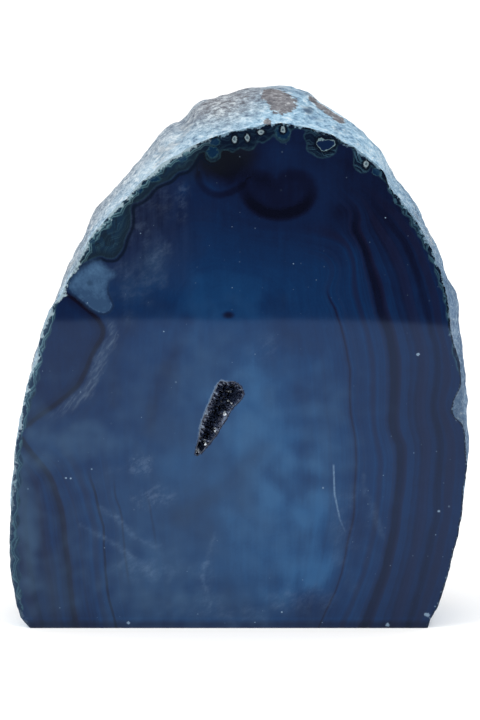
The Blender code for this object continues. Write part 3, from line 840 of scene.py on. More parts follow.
class Graph:
    """Short names for the nodes of one material, world or node group."""

    def __init__(self, owner):
        if not isinstance(owner, bpy.types.NodeTree):
            owner.use_nodes = True
        self.owner = owner
        self.tree = getattr(owner, "node_tree", owner)
        self.tree.nodes.clear()
        self.colour = None

    def node(self, kind, feeds=None, **settings):
        made = self.tree.nodes.new(kind)
        for name, value in settings.items():
            setattr(made, name, value)
        for name, value in (feeds or {}).items():
            self.feed(made.inputs[name], value)
        return made

    def feed(self, socket, value):
        if isinstance(value, Value):
            self.tree.links.new(value.socket, socket)
        elif socket.type == "RGBA":
            socket.default_value = (*value, 1.0)
        else:
            socket.default_value = value

    def values(self, kind, feeds=None, **settings):
        return [Value(self, socket) for socket in self.node(kind, feeds, **settings).outputs]

    def value(self, kind, feeds=None, output=0, **settings):
        return Value(self, self.node(kind, feeds, **settings).outputs[output])

    def math(self, operation, *values):
        """A sum, product or the like of one or two numbers."""
        return self.value("ShaderNodeMath", dict(enumerate(values)), operation=operation)

    def step(self, value, low, high):
        """0 up to low and 1 from high on, smooth between, or falling where high is below low."""
        feeds = {"Value": value, "From Min": low, "From Max": high}
        if high < low:
            feeds = {"Value": value, "From Min": high, "From Max": low, "To Min": 1.0, "To Max": 0.0}
        return self.value("ShaderNodeMapRange", feeds, "Result", interpolation_type="SMOOTHSTEP")

    def line(self, value, place, half, soft):
        """1 where the value is within half of the place, fading out over soft."""
        away = self.math("ABSOLUTE", self.math("SUBTRACT", value, place))
        return self.step(away, half + soft, half)

    def mix(self, share, a, b):
        made = self.node("ShaderNodeMix", data_type="RGBA")
        for number, value in ((0, share), (6, a), (7, b)):
            self.feed(made.inputs[number], value)
        return Value(self, made.outputs[2])

    def coat(self, share, colour):
        """Lays a colour over the material's colour so far, as strongly as the share says."""
        self.colour = self.mix(share, self.colour, colour)

    def noise(self, vector, pitch, detail=2.0, rough=0.5, dimensions="2D", warp=0.0):
        feeds = {"Vector": vector, "Scale": 1.0 / pitch, "Detail": detail, "Roughness": rough}
        feeds["Distortion"] = warp
        return self.value("ShaderNodeTexNoise", feeds, noise_dimensions=dimensions)

    def noise_along(self, value, pitch, detail=2.0, rough=0.5):
        feeds = {"W": value, "Scale": 1.0 / pitch, "Detail": detail, "Roughness": rough}
        return self.value("ShaderNodeTexNoise", feeds, noise_dimensions="1D")

    def cells(self, vector, pitch):
        """The distance to the nearest of many scattered points, and that point's random colour."""
        feeds = {"Vector": vector, "Scale": 1.0 / pitch}
        return self.values("ShaderNodeTexVoronoi", feeds, voronoi_dimensions="2D")[:2]

    def ramp(self, value, stops):
        """A ramp through (place, colour), or through (place, number), which its alpha then gives."""
        made = self.node("ShaderNodeValToRGB", {"Fac": value})
        elements = made.color_ramp.elements
        while len(elements) < len(stops):
            elements.new(0.5)
        coloured = isinstance(stops[0][1], tuple)
        for element, (place, shade) in zip(elements, stops):
            element.position = place
            element.color = (*shade, 1.0) if coloured else (shade, shade, shade, shade)
        return Value(self, made.outputs["Color" if coloured else "Alpha"])

    def field(self, name):
        return self.value("ShaderNodeAttribute", output="Fac", attribute_name=name)

    def millimetres(self):
        """Where the point is on the object, in millimetres: as a vector, and its x, y and z."""
        place = self.value("ShaderNodeTexCoord", output="Object")
        where = self.value("ShaderNodeVectorMath", {0: place, "Scale": 1.0 / MM}, operation="SCALE")
        return where, *self.values("ShaderNodeSeparateXYZ", {0: where})

    def mapped(self, vector, scale, turn=0.0, kind="POINT"):
        feeds = {0: vector, "Rotation": (0.0, 0.0, turn), "Scale": scale}
        return self.value("ShaderNodeMapping", feeds, vector_type=kind)

    def group(self, tree, **feeds):
        made = self.node("ShaderNodeGroup", node_tree=tree)
        for name, value in feeds.items():
            self.feed(made.inputs[name], value)
        return Value(self, made.outputs[0])

    def surface(self, bump=None, **settings):
        """Ends the material in its colour so far. bump is its relief: (strength, distance, height)."""
        feeds = {name.replace("_", " "): value for name, value in settings.items()}
        shader = self.value("ShaderNodeBsdfPrincipled", {"Base Color": self.colour, **feeds})
        if bump:
            relief = self.value("ShaderNodeBump", dict(zip(("Strength", "Distance", "Height"), bump)))
            self.feed(shader.socket.node.inputs["Normal"], relief)
        self.node("ShaderNodeOutputMaterial", {0: shader})
        return self.owner


def make_spot_group():
    """How far a place is from the middle of an ellipse, as a share of its reach at that angle."""
    tree = bpy.data.node_groups.new("spot", "ShaderNodeTree")
    for name in ("Place", "Middle", "Reach"):
        tree.interface.new_socket(name, in_out="INPUT", socket_type="NodeSocketVector")
    tree.interface.new_socket("Away", in_out="OUTPUT", socket_type="NodeSocketFloat")
    g = Graph(tree)
    place, middle, reach = g.values("NodeGroupInput")[:3]
    offset = g.value("ShaderNodeVectorMath", {0: place, 1: middle}, operation="SUBTRACT")
    share = g.value("ShaderNodeVectorMath", {0: offset, 1: reach}, operation="DIVIDE")
    away = g.value("ShaderNodeVectorMath", {0: share}, "Value", operation="LENGTH")
    g.node("NodeGroupOutput", {0: away})
    return tree


# Colours of the face, from the darkest bands to the light core, before any gloss
TONES = [
    (0, (0.0024, 0.003, 0.0085)), (0.2, (0.0034, 0.0052, 0.018)), (0.4, (0.0042, 0.0105, 0.037)),
    (0.6, (0.0043, 0.019, 0.064)), (0.8, (0.006, 0.033, 0.098)), (1, (0.0135, 0.062, 0.155)),
]
# Tone by depth under the rind, in millimetres, and the depth at which the ramp ends
BAND_SPAN = 56
BAND_TONES = [
    (0, 0.4), (10, 0.41), (14, 0.45), (18, 0.52), (24, 0.57), (30, 0.6), (40.4, 0.62), (42, 0.66),
    (56, 0.68),
]
# Single bands: (depth, half width, softness, change of tone, side, lowest z, highest z).
# A line that runs up past HIGH fades out over the longer way
RIGHT, LEFT = 1, -1
HIGH = 90
LONG_FADE, SHORT_FADE = 14, 2
LINES = [
    (13.6, 0.3, 1, 0.07, RIGHT, -9, 112),
    (16.3, 0.35, 1.7, -0.3, RIGHT, -9, 108),
    (16, 0.9, 2.6, -0.05, RIGHT, 82, 110),
    (18.6, 0.3, 1.3, 0.07, RIGHT, -9, 96),
    (6.2, 0.3, 1.1, -0.17, RIGHT, -9, 108),
    (3.6, 0.3, 1.2, -0.06, RIGHT, -9, 100),
    (8.6, 0.4, 1.2, 0.05, RIGHT, -9, 100),
    (10.4, 0.4, 1.6, -0.07, RIGHT, -9, 108),
    (28, 0.06, 0.35, -0.3, RIGHT, -9, 84),
    (41, 0.15, 0.9, -0.16, RIGHT, 12, 72),
    (45, 0.3, 2.2, 0.06, RIGHT, 20, 70),
    (5, 0.3, 0.9, -0.14, LEFT, -9, 34),
    (9.5, 0.2, 0.7, -0.1, LEFT, -9, 36),
    (12, 0.2, 0.5, 0.06, LEFT, -9, 34),
    (24, 0.1, 0.45, -0.36, LEFT, -9, 37),
    (30, 0.08, 0.4, -0.26, LEFT, 12, 36),
    (38, 0.08, 0.4, -0.18, LEFT, 22, 32),
]

# Tube eyes and loops close under the rind: (middle, reach)
EYES = [
    ((-1.3, 123.8), (0.6, 0.9)),
    ((1.8, 124.2), (0.55, 0.9)),
    ((5.2, 125.6), (0.8, 0.55)),
    ((10.6, 126.2), (0.6, 0.75)),
    ((31.2, 117.7), (0.65, 0.8)),
    ((18.4, 126.2), (0.35, 0.25)),
]
LOOPS = [
    ((-6.7, 120.6), (1.5, 1.5)),
    ((-6.2, 123.2), (1.3, 1)),
    ((-14.5, 119.2), (1.4, 0.9)),
    ((-21.5, 114.1), (1.6, 0.8)),
    ((-24.9, 111.2), (1.1, 0.8)),
    ((-36.8, 98.6), (0.8, 0.7)),
    ((10.6, 125.6), (1.8, 1.9)),
    ((33.8, 115.8), (1, 0.9)),
]
CAVITY = ((21.2, 122.8), (1.9, 1.5))


def make_face_material(spot):
    g = Graph(bpy.data.materials.new("polished blue agate"))
    _, x, _, z = g.millimetres()
    flat = g.value("ShaderNodeCombineXYZ", {0: x, 1: z})
    band = g.field("band")
    rim = g.field("rim")
    zone = g.field("zone")
    wobble = g.noise(flat, 9, 3) - 0.5
    grain = g.noise(flat, 0.7, 3, 0.65)
    ragged = grain - 0.5
    mottle = g.noise(flat, 4.5, 4, 0.6) - 0.5
    combed = g.mapped(flat, (1, 0.07, 1))
    streaks = g.noise(combed, 1.3, 3, 0.6) - 0.5

    def away_from(middle, reach):
        return g.group(spot, Place=flat, Middle=(*middle, 0), Reach=(*reach, 1))

    # Tone by band, with the stripes of the growth lines, clearest along the sides
    swayed = band + wobble * 0.8
    stops = [(depth / BAND_SPAN, shade) for depth, shade in BAND_TONES]
    tone = g.ramp(g.math("DIVIDE", swayed, BAND_SPAN), stops)
    right_side = g.step(x, 12, 30) * g.step(z, 116, 98)
    left_side = g.step(x, -24, -38) * g.step(z, 52, 36)
    flanks = right_side + left_side
    stripes = g.noise_along(swayed, 1.5, 4, 0.65) - 0.5
    tone += stripes * (flanks * 0.24 + 0.07)
    tone += (g.noise(flat, 22, 3, 0.45) - 0.5) * 0.18
    tone += mottle * 0.12 + streaks * 0.1 + ragged * 0.07
    right = g.step(x, 14, 20)
    left = g.step(x, -14, -20)
    for depth, half, soft, change, side, low, high in LINES:
        fade = LONG_FADE if high > HIGH else SHORT_FADE
        shown = (right if side == RIGHT else left) * g.step(z, high + 5, high - fade)
        if low > 0:
            shown = shown * g.step(z, low - 3, low + 4)
        tone += g.line(swayed, depth, half, soft) * shown * change
    tone += g.field("shade") + g.step(z, 84, 107) * -0.16

    # The dark fold on the left: below, soft towards the rim and sharp on the other side
    crease = g.field("fold") + wobble * 0.5
    upper = g.step(crease, -3, 0) * g.step(crease, 1.2, 0) * 0.35
    upper += g.line(crease, -0.1, 0.1, 0.75) * 0.65
    lower = g.step(crease, -2.6, -0.2) * g.step(crease, 0.6, 0) * 0.5
    lower += g.line(crease, -0.35, 0.2, 0.7) * 0.5
    above = g.step(z, 47, 51)
    fold = upper * above + lower * (1 - above)
    fold = fold * left * g.step(z, 87, 84)
    tone -= fold * 0.4

    # The dark two-lobed mark, darkest along its lower edge, with the arc beside it
    lobes = g.field("lobes") + wobble * 0.7
    tone -= g.step(lobes, -1.4, 1.2) * 0.13
    edge = g.line(lobes, 0.9, 0.5, 1.8)
    tone -= edge * (g.step(z, 113, 106) * 0.2 + 0.06)
    arc = g.field("arc")
    tone -= g.line(arc, -0.5, 0.2, 1.1) * 0.17
    tone += g.line(arc, 1, 0.1, 0.7) * 0.04
    pit = g.step(away_from((-3, 80), (1.5, 1)) + wobble * 0.5, 1.4, 0.2)
    tone -= pit * 0.5
    # Painted shade: the face darkened along its bottom edge, where it meets the floor, under a thin pale
    # line
    tone += g.line(z, 2.5, 0.1, 0.4) * 0.05 + g.step(z, 2.4, 0.9) * -0.26

    g.colour = g.ramp(tone, TONES)
    g.coat(fold * 0.5, (0.0045, 0.003, 0.0075))
    purple = g.step(g.noise_along(swayed + 40, 3.2, 2), 0.48, 0.62) * flanks * 0.3
    g.coat(purple, (0.0095, 0.0085, 0.023))
    dusk = g.step(away_from((-26, 100), (16, 17)) + wobble, 1.3, 0.3)
    dim = 0.34 + streaks * 0.6 + mottle * 0.5
    g.coat(dusk * dim, (0.017, 0.028, 0.064))

    # Milky haze, and clouds of pale grains
    g.coat(g.field("haze"), (0.052, 0.106, 0.174))
    grains = g.step(grain, 0.4, 0.75)
    scuffed = g.mapped(flat, (1.8, 1, 1), 0.6, "TEXTURE")
    scuffs = g.step(g.noise(scuffed, 1.6, 6, 0.78), 0.38, 0.78)
    g.coat(g.field("dust") * scuffs * 1.3, (0.11, 0.16, 0.25))

    # The teal zone under the rind: wavy lines that follow the rim, darker towards its inner edge
    scallops, _ = g.cells(flat, 3)
    waves = rim + scallops * -1.7 + ragged * 0.5
    teal_left = g.step(x, -3, -12)
    within = g.step(zone, 0.2, -0.3)
    lace = g.noise_along(waves, 0.55, 2, 0.6)
    near_rim = g.step(rim, 4, 0.7)
    light = g.step(lace, 0.45, 0.7) * (near_rim * 0.75 + 0.2) * (g.step(z, 20, 70) * 0.3 + 0.75)
    teal_colour = g.mix(light, (0.0068, 0.019, 0.039), (0.048, 0.115, 0.142))
    inner = g.step(zone, -2.6, -0.4) * g.step(z, 88, 94) * 0.65
    blotches = g.step(mottle + streaks * 0.5, 0, 0.12) * g.step(rim, 0.8, 2.2) * 0.6
    inner = g.math("MAXIMUM", inner, blotches)
    teal_colour = g.mix(inner, teal_colour, (0.006, 0.01, 0.015))
    frost = g.step(lace, 0.5, 0.6) * g.step(rim, 2.4, 0.5) * g.step(z, 45, 80)
    teal_colour = g.mix(frost * 0.45, teal_colour, (0.13, 0.23, 0.27))
    g.coat(within * teal_left * 0.94, teal_colour)
    ink = within * g.step(x, -12, -3) * g.step(z, 40, 75)
    ink_lace = g.step(lace, 0.46, 0.66) * (g.step(x, 12, 26) + 0.25)
    ink_colour = g.mix(ink_lace, (0.0028, 0.0062, 0.015), (0.027, 0.066, 0.098))
    g.coat(ink * 0.85, ink_colour)
    olive = g.step(zone, 8, 0.3) * g.step(zone, -0.3, 0.2) * g.line(x, -5, 6, 5) * g.step(z, 110, 117)
    g.coat(olive * 0.55, (0.0062, 0.008, 0.01))
    broken = grain * 1.3 - 0.25
    crest = g.line(zone + wobble * 0.5, -0.05, 0.05, 0.3) * broken * (teal_left * -0.4 + 1)
    g.coat(crest * 0.7, (0.021, 0.056, 0.074))
    shadow = g.line(zone, 0.7, 0.12, 0.5) * teal_left * g.step(z, 88, 94)
    g.coat(shadow * 0.85, (0.003, 0.006, 0.014))

    # Tube eyes and loops close under the rind
    for middle, reach in LOOPS:
        away = away_from(middle, reach) + ragged * 0.9 + wobble * 0.6
        g.coat(g.step(away, 1.1, 0.8) * 0.7, (0.0035, 0.018, 0.048))
        g.coat(g.line(away, 1, 0.04, 0.16) * broken * 0.8, (0.03, 0.08, 0.1))
    for middle, reach in EYES:
        away = away_from(middle, reach) + ragged * 1.3
        g.coat(g.step(away, 2.2, 1.5), (0.0025, 0.005, 0.011))
        g.coat(g.step(away, 1.15, 0.7) * 0.85, (0.22, 0.29, 0.32))
        g.coat(g.step(away, 0.7, 0.35) * 0.85, (0.03, 0.055, 0.075))
    away = away_from(*CAVITY) + (g.noise(flat, 2.2, 2) - 0.5) * 1.5 + ragged * 0.45
    g.coat(g.step(away, 2, 1.3), (0.0022, 0.0045, 0.01))
    g.coat(g.step(away, 1.05, 0.95), (0.0035, 0.011, 0.036))
    g.coat(g.line(away, 1, 0.03, 0.12) * broken * 1.3, (0.19, 0.29, 0.32))

    # The pale milky patch, with a dark mote and a fine outline low down
    patch = g.field("patch") + wobble * 1.2 + ragged * 0.5
    milk = g.ramp(g.noise(flat, 5, 5, 0.65) + ragged * 0.25 + g.step(z, 90, 81) * -0.2, [
        (0.3, (0.023, 0.052, 0.108)), (0.55, (0.04, 0.086, 0.16)), (0.85, (0.065, 0.135, 0.23)),
    ])
    soft = g.math("MAXIMUM", g.step(patch, -1, 1.2), g.step(patch, -0.1, 0.3) * g.step(z, 85, 82.5))
    g.coat(soft * 0.92, milk)
    outline = g.line(patch, 0.3, 0.03, 0.2) * g.step(z, 86, 82.5) * grains * 0.4
    g.coat(outline, (0.09, 0.15, 0.23))
    shade = g.line(patch, -0.3, 0.1, 0.3) * g.step(z, 90, 85) * 0.5
    g.coat(shade, (0.006, 0.012, 0.03))
    mote = away_from((-37.5, 88.1), (0.7, 0.7))
    g.coat(g.step(mote, 1.5, 0.4) * 0.55, (0.012, 0.028, 0.06))

    # Feathery strip along the fold
    ridge = g.line(crease + mottle * 2, 2.4, 0.2, 1.9) * g.step(x, -27, -33)
    ridge = ridge * g.step(z, 52, 60) * g.step(z, 80, 75)
    slanted = g.mapped(flat, (4, 0.8, 1), 0.95, "TEXTURE")
    barbs = g.step(g.noise(slanted, 0.9, 4, 0.65), 0.4, 0.7)
    g.coat(ridge * (barbs * 0.5 + 0.14), (0.072, 0.105, 0.155))

    # Scratches, polish marks and motes
    faint = g.field("stroke") * (scuffs + 0.35)
    g.coat(faint, (0.12, 0.19, 0.29))
    drawn = g.ramp(z * 0.01, [(0.25, 0.53), (0.282, 0.503), (0.346, 0.476), (0.421, 0.47)])
    scratch = g.line(x - drawn * 50, 0, 0.06, 0.3) * g.step(z, 42.4, 41.8) * g.step(z, 23, 34)
    g.coat(scratch * (grain - 0.05), (0.16, 0.25, 0.36))
    for middle, radius in CHIPS:
        away = away_from(middle, (radius, radius * 0.8)) + ragged * 1.6
        g.coat(g.step(away, 1.1, 0.6) * 0.6, (0.24, 0.34, 0.45))
    for pitch, size, least in ((1.9, 0.09, 0.93), (5.3, 0.055, 0.88)):
        distance, colour = g.cells(flat, pitch)
        chance = g.values("ShaderNodeSeparateColor", {0: colour})
        speck = g.step(distance - chance[1] * size, 0.01, -0.015)
        shown = g.step(chance[0], least, 1) * (chance[2] * chance[2] + 0.15)
        g.coat(speck * shown, (0.17, 0.25, 0.34))

    # The rim: a thin black line, and pale flecks where the rind is chipped into the face
    rough_rim = rim + ragged * 0.9 + mottle * 0.6
    black = g.step(rough_rim, 0.6, 0.2) * g.step(x, -34, -20)
    g.coat(black * 0.85, (0.002, 0.003, 0.006))
    chips = rim + ragged * 1.7 + (g.noise(flat, 2.2, 3) - 0.5) * 2.6
    frosted = chips - g.line(x, -17, 4, 4) * g.step(z, 95, 108) * 0.3
    pale = g.step(frosted, 0.7, 0.1) * g.step(x, -5, -14) * (g.step(z, 20, 60) * 0.7 + 0.1)
    g.coat(pale, (0.3, 0.4, 0.45))
    flecks = g.step(chips, 0.35, 0) * g.step(x, -16, -4) * g.step(z, 60, 95) * 0.6
    g.coat(flecks, (0.2, 0.32, 0.42))
    crumbs = g.step(rim + ragged * 2.8, 0.1, -0.2) * g.step(x, 30, 44) * g.step(z, 70, 50)
    g.coat(crumbs * 0.5, (0.16, 0.23, 0.3))

    # The ragged mouth of the vug, pale along its left edge
    mouth = g.field("vug") + mottle * 0.5 + ragged * 0.9
    left_edge = g.step(x - (z - 54) * 0.53, -7.2, -8.4)
    pale_edge = left_edge * 0.5 + g.step(grain, 0.48, 0.62) * 0.25
    g.coat(g.step(mouth, 0.45, 0.05) * pale_edge, (0.15, 0.21, 0.29))
    g.coat(g.step(mouth, 0.3, 0) * (1 - left_edge), (0.007, 0.009, 0.022))

    return g.surface(
        (0.25, 0.00006, g.noise(flat, 30, 1)),
        Roughness=0.035, IOR=1.5, Specular_IOR_Level=0.385, Specular_Tint=(0.42, 0.6, 1),
    )


# Brown-grey skin left on the rind near the top: (middle, radius), in millimetres
SKIN_PATCHES = [
    ((10.5, -21.1, 132.6), 3.6),
    ((8.8, -17.9, 134.2), 3.2),
    ((18, -12, 132), 1.7),
    ((20.4, -13.8, 131.1), 1.8),
    ((22.6, -15.2, 129.8), 1.9),
    ((24.8, -16.2, 128.2), 1.9),
    ((6.7, -28.2, 128.1), 1),
]
# Colours of the rind, by how pale its grain is
CHALKY = [
    (0.25, (0.11, 0.155, 0.22)), (0.45, (0.28, 0.355, 0.435)),
    (0.58, (0.415, 0.49, 0.56)), (0.75, (0.67, 0.725, 0.76)),
]
DYED = [(0.25, (0.095, 0.2, 0.34)), (0.5, (0.345, 0.55, 0.71)), (0.75, (0.65, 0.79, 0.88))]
# The dyed rind as painted shade, for its lower right
DYED_IN_PAINTED_SHADE = [(0.25, (0.042, 0.095, 0.185)), (0.5, (0.115, 0.205, 0.34)), (0.75, (0.29, 0.41, 0.53))]
EARTHY = [(0.3, (0.13, 0.125, 0.13)), (0.5, (0.27, 0.262, 0.265)), (0.7, (0.43, 0.425, 0.425))]
BROWN_SKIN = [(0.35, (0.085, 0.08, 0.092)), (0.5, (0.185, 0.172, 0.182)), (0.68, (0.36, 0.36, 0.38))]


def make_rind_material(spot):
    g = Graph(bpy.data.materials.new("chalky rind"))
    where, x, y, z = g.millimetres()
    depth = y - FACE_Y
    # The grain runs longer round the stone and into it than up it
    long = g.mapped(where, (0.5, 0.65, 1))
    broad = g.noise(long, 12, 4, 0.6, "3D")
    middling = g.noise(long, 3.6, 5, 0.7, "3D", 0.6)
    fine = g.noise(long, 1.1, 5, 0.8, "3D")
    chalk = broad * 0.45 + middling * 0.55 + (fine - 0.5) * 1.4
    g.colour = g.ramp(chalk, CHALKY)
    # Pale blue dye along the face and on the right, with painted shade on the lower right and in the notch
    turned = x + (g.noise(where, 16, 4, 0.6, "3D") - 0.5) * 40 + depth * -0.45
    blue = g.step(depth, 14, 1) * 0.62 + g.step(turned, -6, 10) * 0.85
    dyed = g.ramp(chalk, DYED)
    g.coat(g.math("MINIMUM", blue, 0.95), dyed)
    # Painted shade: the rind's lower right darkened, as where it turns away from the light
    painted_shade_lower_right = g.step(x, 26, 44) * g.step(z, 134, 76)
    g.coat(painted_shade_lower_right, g.ramp(chalk, DYED_IN_PAINTED_SHADE))
    # Painted shade: the rind darkened in the notch on the right side
    notch_shade = g.step(g.group(spot, Place=where, Middle=(54.5, -26, 56.5), Reach=(5, 10, 7)), 1.3, 0.4)
    g.coat(notch_shade * 0.55, (0.035, 0.085, 0.165))
    # Warmer and browner at the back
    wide = g.noise(where, 30, 4, 0.6, "3D", 0.5)
    earth = g.step(depth, 14, 34) * g.step(wide, 0.38, 0.62) * 0.55
    g.coat(earth, g.ramp(chalk, EARTHY))
    # Brown-grey skin
    torn = g.noise(where, 24, 6, 0.62, "3D", 0.4) + fine * 0.1
    scraps = g.step(torn, 0.6, 0.66) * (g.step(depth, 10, 30) * 0.35 + 0.35)
    warm = g.group(spot, Place=where, Middle=(-4, -16, 132), Reach=(13, 14, 9))
    warmth = g.step(warm, 1.3, 0.3) * g.step(fine, 0.66, 0.4) * 0.85
    skin = g.math("MAXIMUM", scraps, warmth)
    for middle, radius in SKIN_PATCHES:
        away = g.group(spot, Place=where, Middle=middle, Reach=(radius, radius * 1.7, radius))
        away = away + (fine - 0.5) * 1.8 + (middling - 0.5) * 1.2
        skin = g.math("MAXIMUM", skin, g.step(away, 1.1, 0.95))
    g.coat(skin * 0.92, g.ramp(fine, BROWN_SKIN))
    # Dark blue dye in the pits
    stain = g.step(fine * 0.6 + middling * 0.4, 0.43, 0.33) * 0.65
    blot = g.group(spot, Place=where, Middle=(17, -20.5, 130.4), Reach=(1.7, 6, 1.3))
    stain = g.math("MAXIMUM", stain, g.step(blot + fine, 1.7, 0.9) * 0.8)
    g.coat(stain, (0.055, 0.1, 0.17))
    # White crumbs
    crumb = g.group(spot, Place=where, Middle=(5.6, -19, 132.5), Reach=(2.2, 8, 4))
    crumbs = g.step(crumb + fine, 1.7, 1.2) * 0.6 + 0.4
    g.coat(crumbs * g.step(fine, 0.58, 0.66), (0.72, 0.76, 0.78))
    height = fine + g.noise(where, 0.7, 4, 0.7, "3D") * 0.5
    return g.surface((0.8, 0.0014, height), Roughness=0.75, Specular_IOR_Level=0.3)


# Colours of the sawn base, by band
SAWN = [(0.3, (0.005, 0.012, 0.04)), (0.5, (0.012, 0.04, 0.11)), (0.7, (0.02, 0.07, 0.18))]


def make_base_material():
    g = Graph(bpy.data.materials.new("sawn agate"))
    where, x, y, _ = g.millimetres()
    bands = g.noise_along(x + g.noise(where, 12, 3, 0.5, "3D") * 8, 4, 4, 0.6)
    g.colour = g.ramp(bands, SAWN)
    marks = g.noise_along(y + x * 0.06, 0.5, 3, 0.6)
    g.coat(g.step(marks, 0.5, 0.75) * 0.25, (0.12, 0.2, 0.3))
    return g.surface((0.3, 0.0002, marks), Roughness=0.38, Specular_IOR_Level=0.4)


# Painted highlights on crystals of the druse, where their facets catch the lamps: (middle, radius), in
# millimetres
PAINTED_HIGHLIGHTS = [
    ((-2.6, 59.9), 0.45), ((-3, 57.5), 0.3), ((-2.2, 57.2), 0.25), ((-3.8, 54.8), 0.4),
    ((-6.2, 50.7), 0.4), ((-8.9, 47.3), 0.5), ((-10.7, 45.2), 0.4),
]
# Colours of its quartz
QUARTZ = [(0.35, (0.014, 0.02, 0.042)), (0.55, (0.028, 0.04, 0.08)), (0.7, (0.075, 0.105, 0.18))]

# The crust that the crystals grow on: points round it, rows as (depth, share of the mouth's
# width), and how far it and its outer edge stand in from the mouth, in millimetres
CRUST_ROUND = 160
CRUST_ROWS = [
    (0.3, 1.0), (1.2, 0.97), (2.2, 0.93), (3.2, 0.86), (4.2, 0.76), (5.2, 0.64), (6.2, 0.5),
    (7.2, 0.36), (8.0, 0.22), (8.6, 0.1),
]
CRUST_INSET = 0.25
EDGE_INSET = 0.08
# Crystals on its walls: how far below each row, every how many points, how far they lean out of
# the stone and at random, and the range of their sizes
WALL_DROP = 0.3
WALL_EVERY = 3
WALL_LEAN = 0.35
WALL_SIZES = (0.3, 0.75)
# A wall's crystal is this much longer than its size, up to this share of the way across, and
# there is none where the way is less than this
WALL_LENGTH = 1.5
WALL_SHARE = 0.9
NARROW = 0.3
# Crystals on its floor: (first place, last place, how many) along the vug, their places across it,
# how these spread at the narrow end and slant, their depths, how far they lean at random, and the
# range of their sizes
FLOOR_PLACES = (-0.04, 1.08, 26)
FLOOR_ACROSS = (-0.5, 0.1, 0.7)
FLOOR_SPREAD = 0.4
FLOOR_SLANT = 0.5
FLOOR_DEPTHS = (5.6, 7.2)
FLOOR_LEAN = 0.6
FLOOR_SIZES = (0.5, 1.1)
FLOOR_LENGTH = 1.6
# A crystal's radius and root, and its prism's share of its length and of its width
CRYSTAL_RADIUS = 0.42
CRYSTAL_ROOT = 0.2
PRISM = (0.6, 0.9)
SIDES = 6


def make_druse_material(spot):
    g = Graph(bpy.data.materials.new("blue quartz druse"))
    where, x, y, z = g.millimetres()
    flat = g.value("ShaderNodeCombineXYZ", {0: x, 1: z})
    tint = g.noise(where, 0.8, 3, 0.6, "3D")
    g.colour = g.ramp(tint, QUARTZ)
    # Paler at the mouth, above all along the left edge
    across = x - (z - 54) * 0.53
    left = g.step(across, -7.2, -8.2)
    near = g.step(y, FACE_Y + 1, FACE_Y + 0.3) * g.step(tint, 0.4, 0.6)
    g.coat(near * (left * 0.45 + 0.1), (0.25, 0.32, 0.42))
    right = g.step(across, -4.6, -3.4) * g.step(z, 58.5, 56.5)
    flecks = right * g.step(y, FACE_Y + 3.5, FACE_Y + 1) * g.step(tint, 0.5, 0.6)
    g.coat(flecks * 0.6, (0.16, 0.23, 0.36))
    # Painted highlights: pale spots on crystals that catch the lamps
    for middle, radius in PAINTED_HIGHLIGHTS:
        away = g.group(spot, Place=flat, Middle=(*middle, 0), Reach=(radius, radius * 0.8, 1))
        highlight = g.step(away + tint * 0.6, 1.4, 1.2) * g.step(y, FACE_Y + 9, FACE_Y + 5)
        g.coat(highlight * 0.85, (0.62, 0.68, 0.74))
    return g.surface(Roughness=0.12, IOR=1.55, Specular_IOR_Level=0.4)


def join_rings(mesh, front, back):
    for here in range(CRUST_ROUND):
        ahead = (here + 1) % CRUST_ROUND
        mesh.faces.new((front[here], front[ahead], back[ahead], back[here]))


def build_druse():
    """The crust of small six-sided crystals that lines the vug."""
    draw = np.random.default_rng(SEED)
    angles = ring_angles(CRUST_ROUND)
    radii = radius_at(VUG_OUTLINE, VUG_CENTRE, angles, 4 * OUTLINE_STEPS)
    mouth = np.array(VUG_CENTRE) + np.stack([radii * np.cos(angles), radii * np.sin(angles)], axis=1)
    mesh = bmesh.new()

    def ring(depth, width, inset):
        return [mesh.verts.new(Vector(point) * MM) for point in vug_ring(mouth, depth, width, inset)]

    rings = [ring(depth, width, CRUST_INSET) for depth, width in CRUST_ROWS]
    for front, back in zip(rings, rings[1:]):
        join_rings(mesh, front, back)
    mesh.faces.new(rings[-1])
    join_rings(mesh, ring(*CRUST_ROWS[0], EDGE_INSET), rings[0])
    bmesh.ops.recalc_face_normals(mesh, faces=mesh.faces)

    low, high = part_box("vug_crystals")
    for row, (depth, width) in enumerate(CRUST_ROWS[:-1]):
        feet = vug_ring(mouth, depth + WALL_DROP, width, CRUST_INSET)
        spine = vug_ring(mouth, depth + WALL_DROP, 0.0, 0.0)
        for here in range(0, CRUST_ROUND, WALL_EVERY):
            spot = (here + 2 * (row % 2) + int(draw.integers(0, 2))) % CRUST_ROUND
            foot = Vector(feet[spot])
            inward = Vector(spine[spot]) - foot
            reach = inward.length
            if reach < NARROW:
                continue
            inward.normalize()
            inward.y -= WALL_LEAN
            inward += Vector(draw.uniform(-WALL_LEAN, WALL_LEAN, 3))
            size = draw.uniform(*WALL_SIZES)
            length = min(size * WALL_LENGTH, reach * WALL_SHARE)
            add_crystal(mesh, foot, inward, size, length, draw, low, high)
    start = np.array(VUG_SPINE[0])
    along = np.array(VUG_SPINE[1]) - start
    for share in np.linspace(*FLOOR_PLACES):
        for side in FLOOR_ACROSS:
            x, z = start + share * along
            x += side * (FLOOR_SPREAD + share)
            z -= side * FLOOR_SLANT
            place = (x, FACE_Y + draw.uniform(*FLOOR_DEPTHS), z)
            axis = Vector((0.0, -1.0, 0.0)) + Vector(draw.uniform(-FLOOR_LEAN, FLOOR_LEAN, 3))
            size = draw.uniform(*FLOOR_SIZES)
            add_crystal(mesh, Vector(place), axis, size, size * FLOOR_LENGTH, draw, low, high)
    data = bpy.data.meshes.new("quartz_druse")
    mesh.to_mesh(data)
    mesh.free()
    return add_object("quartz_druse", data)


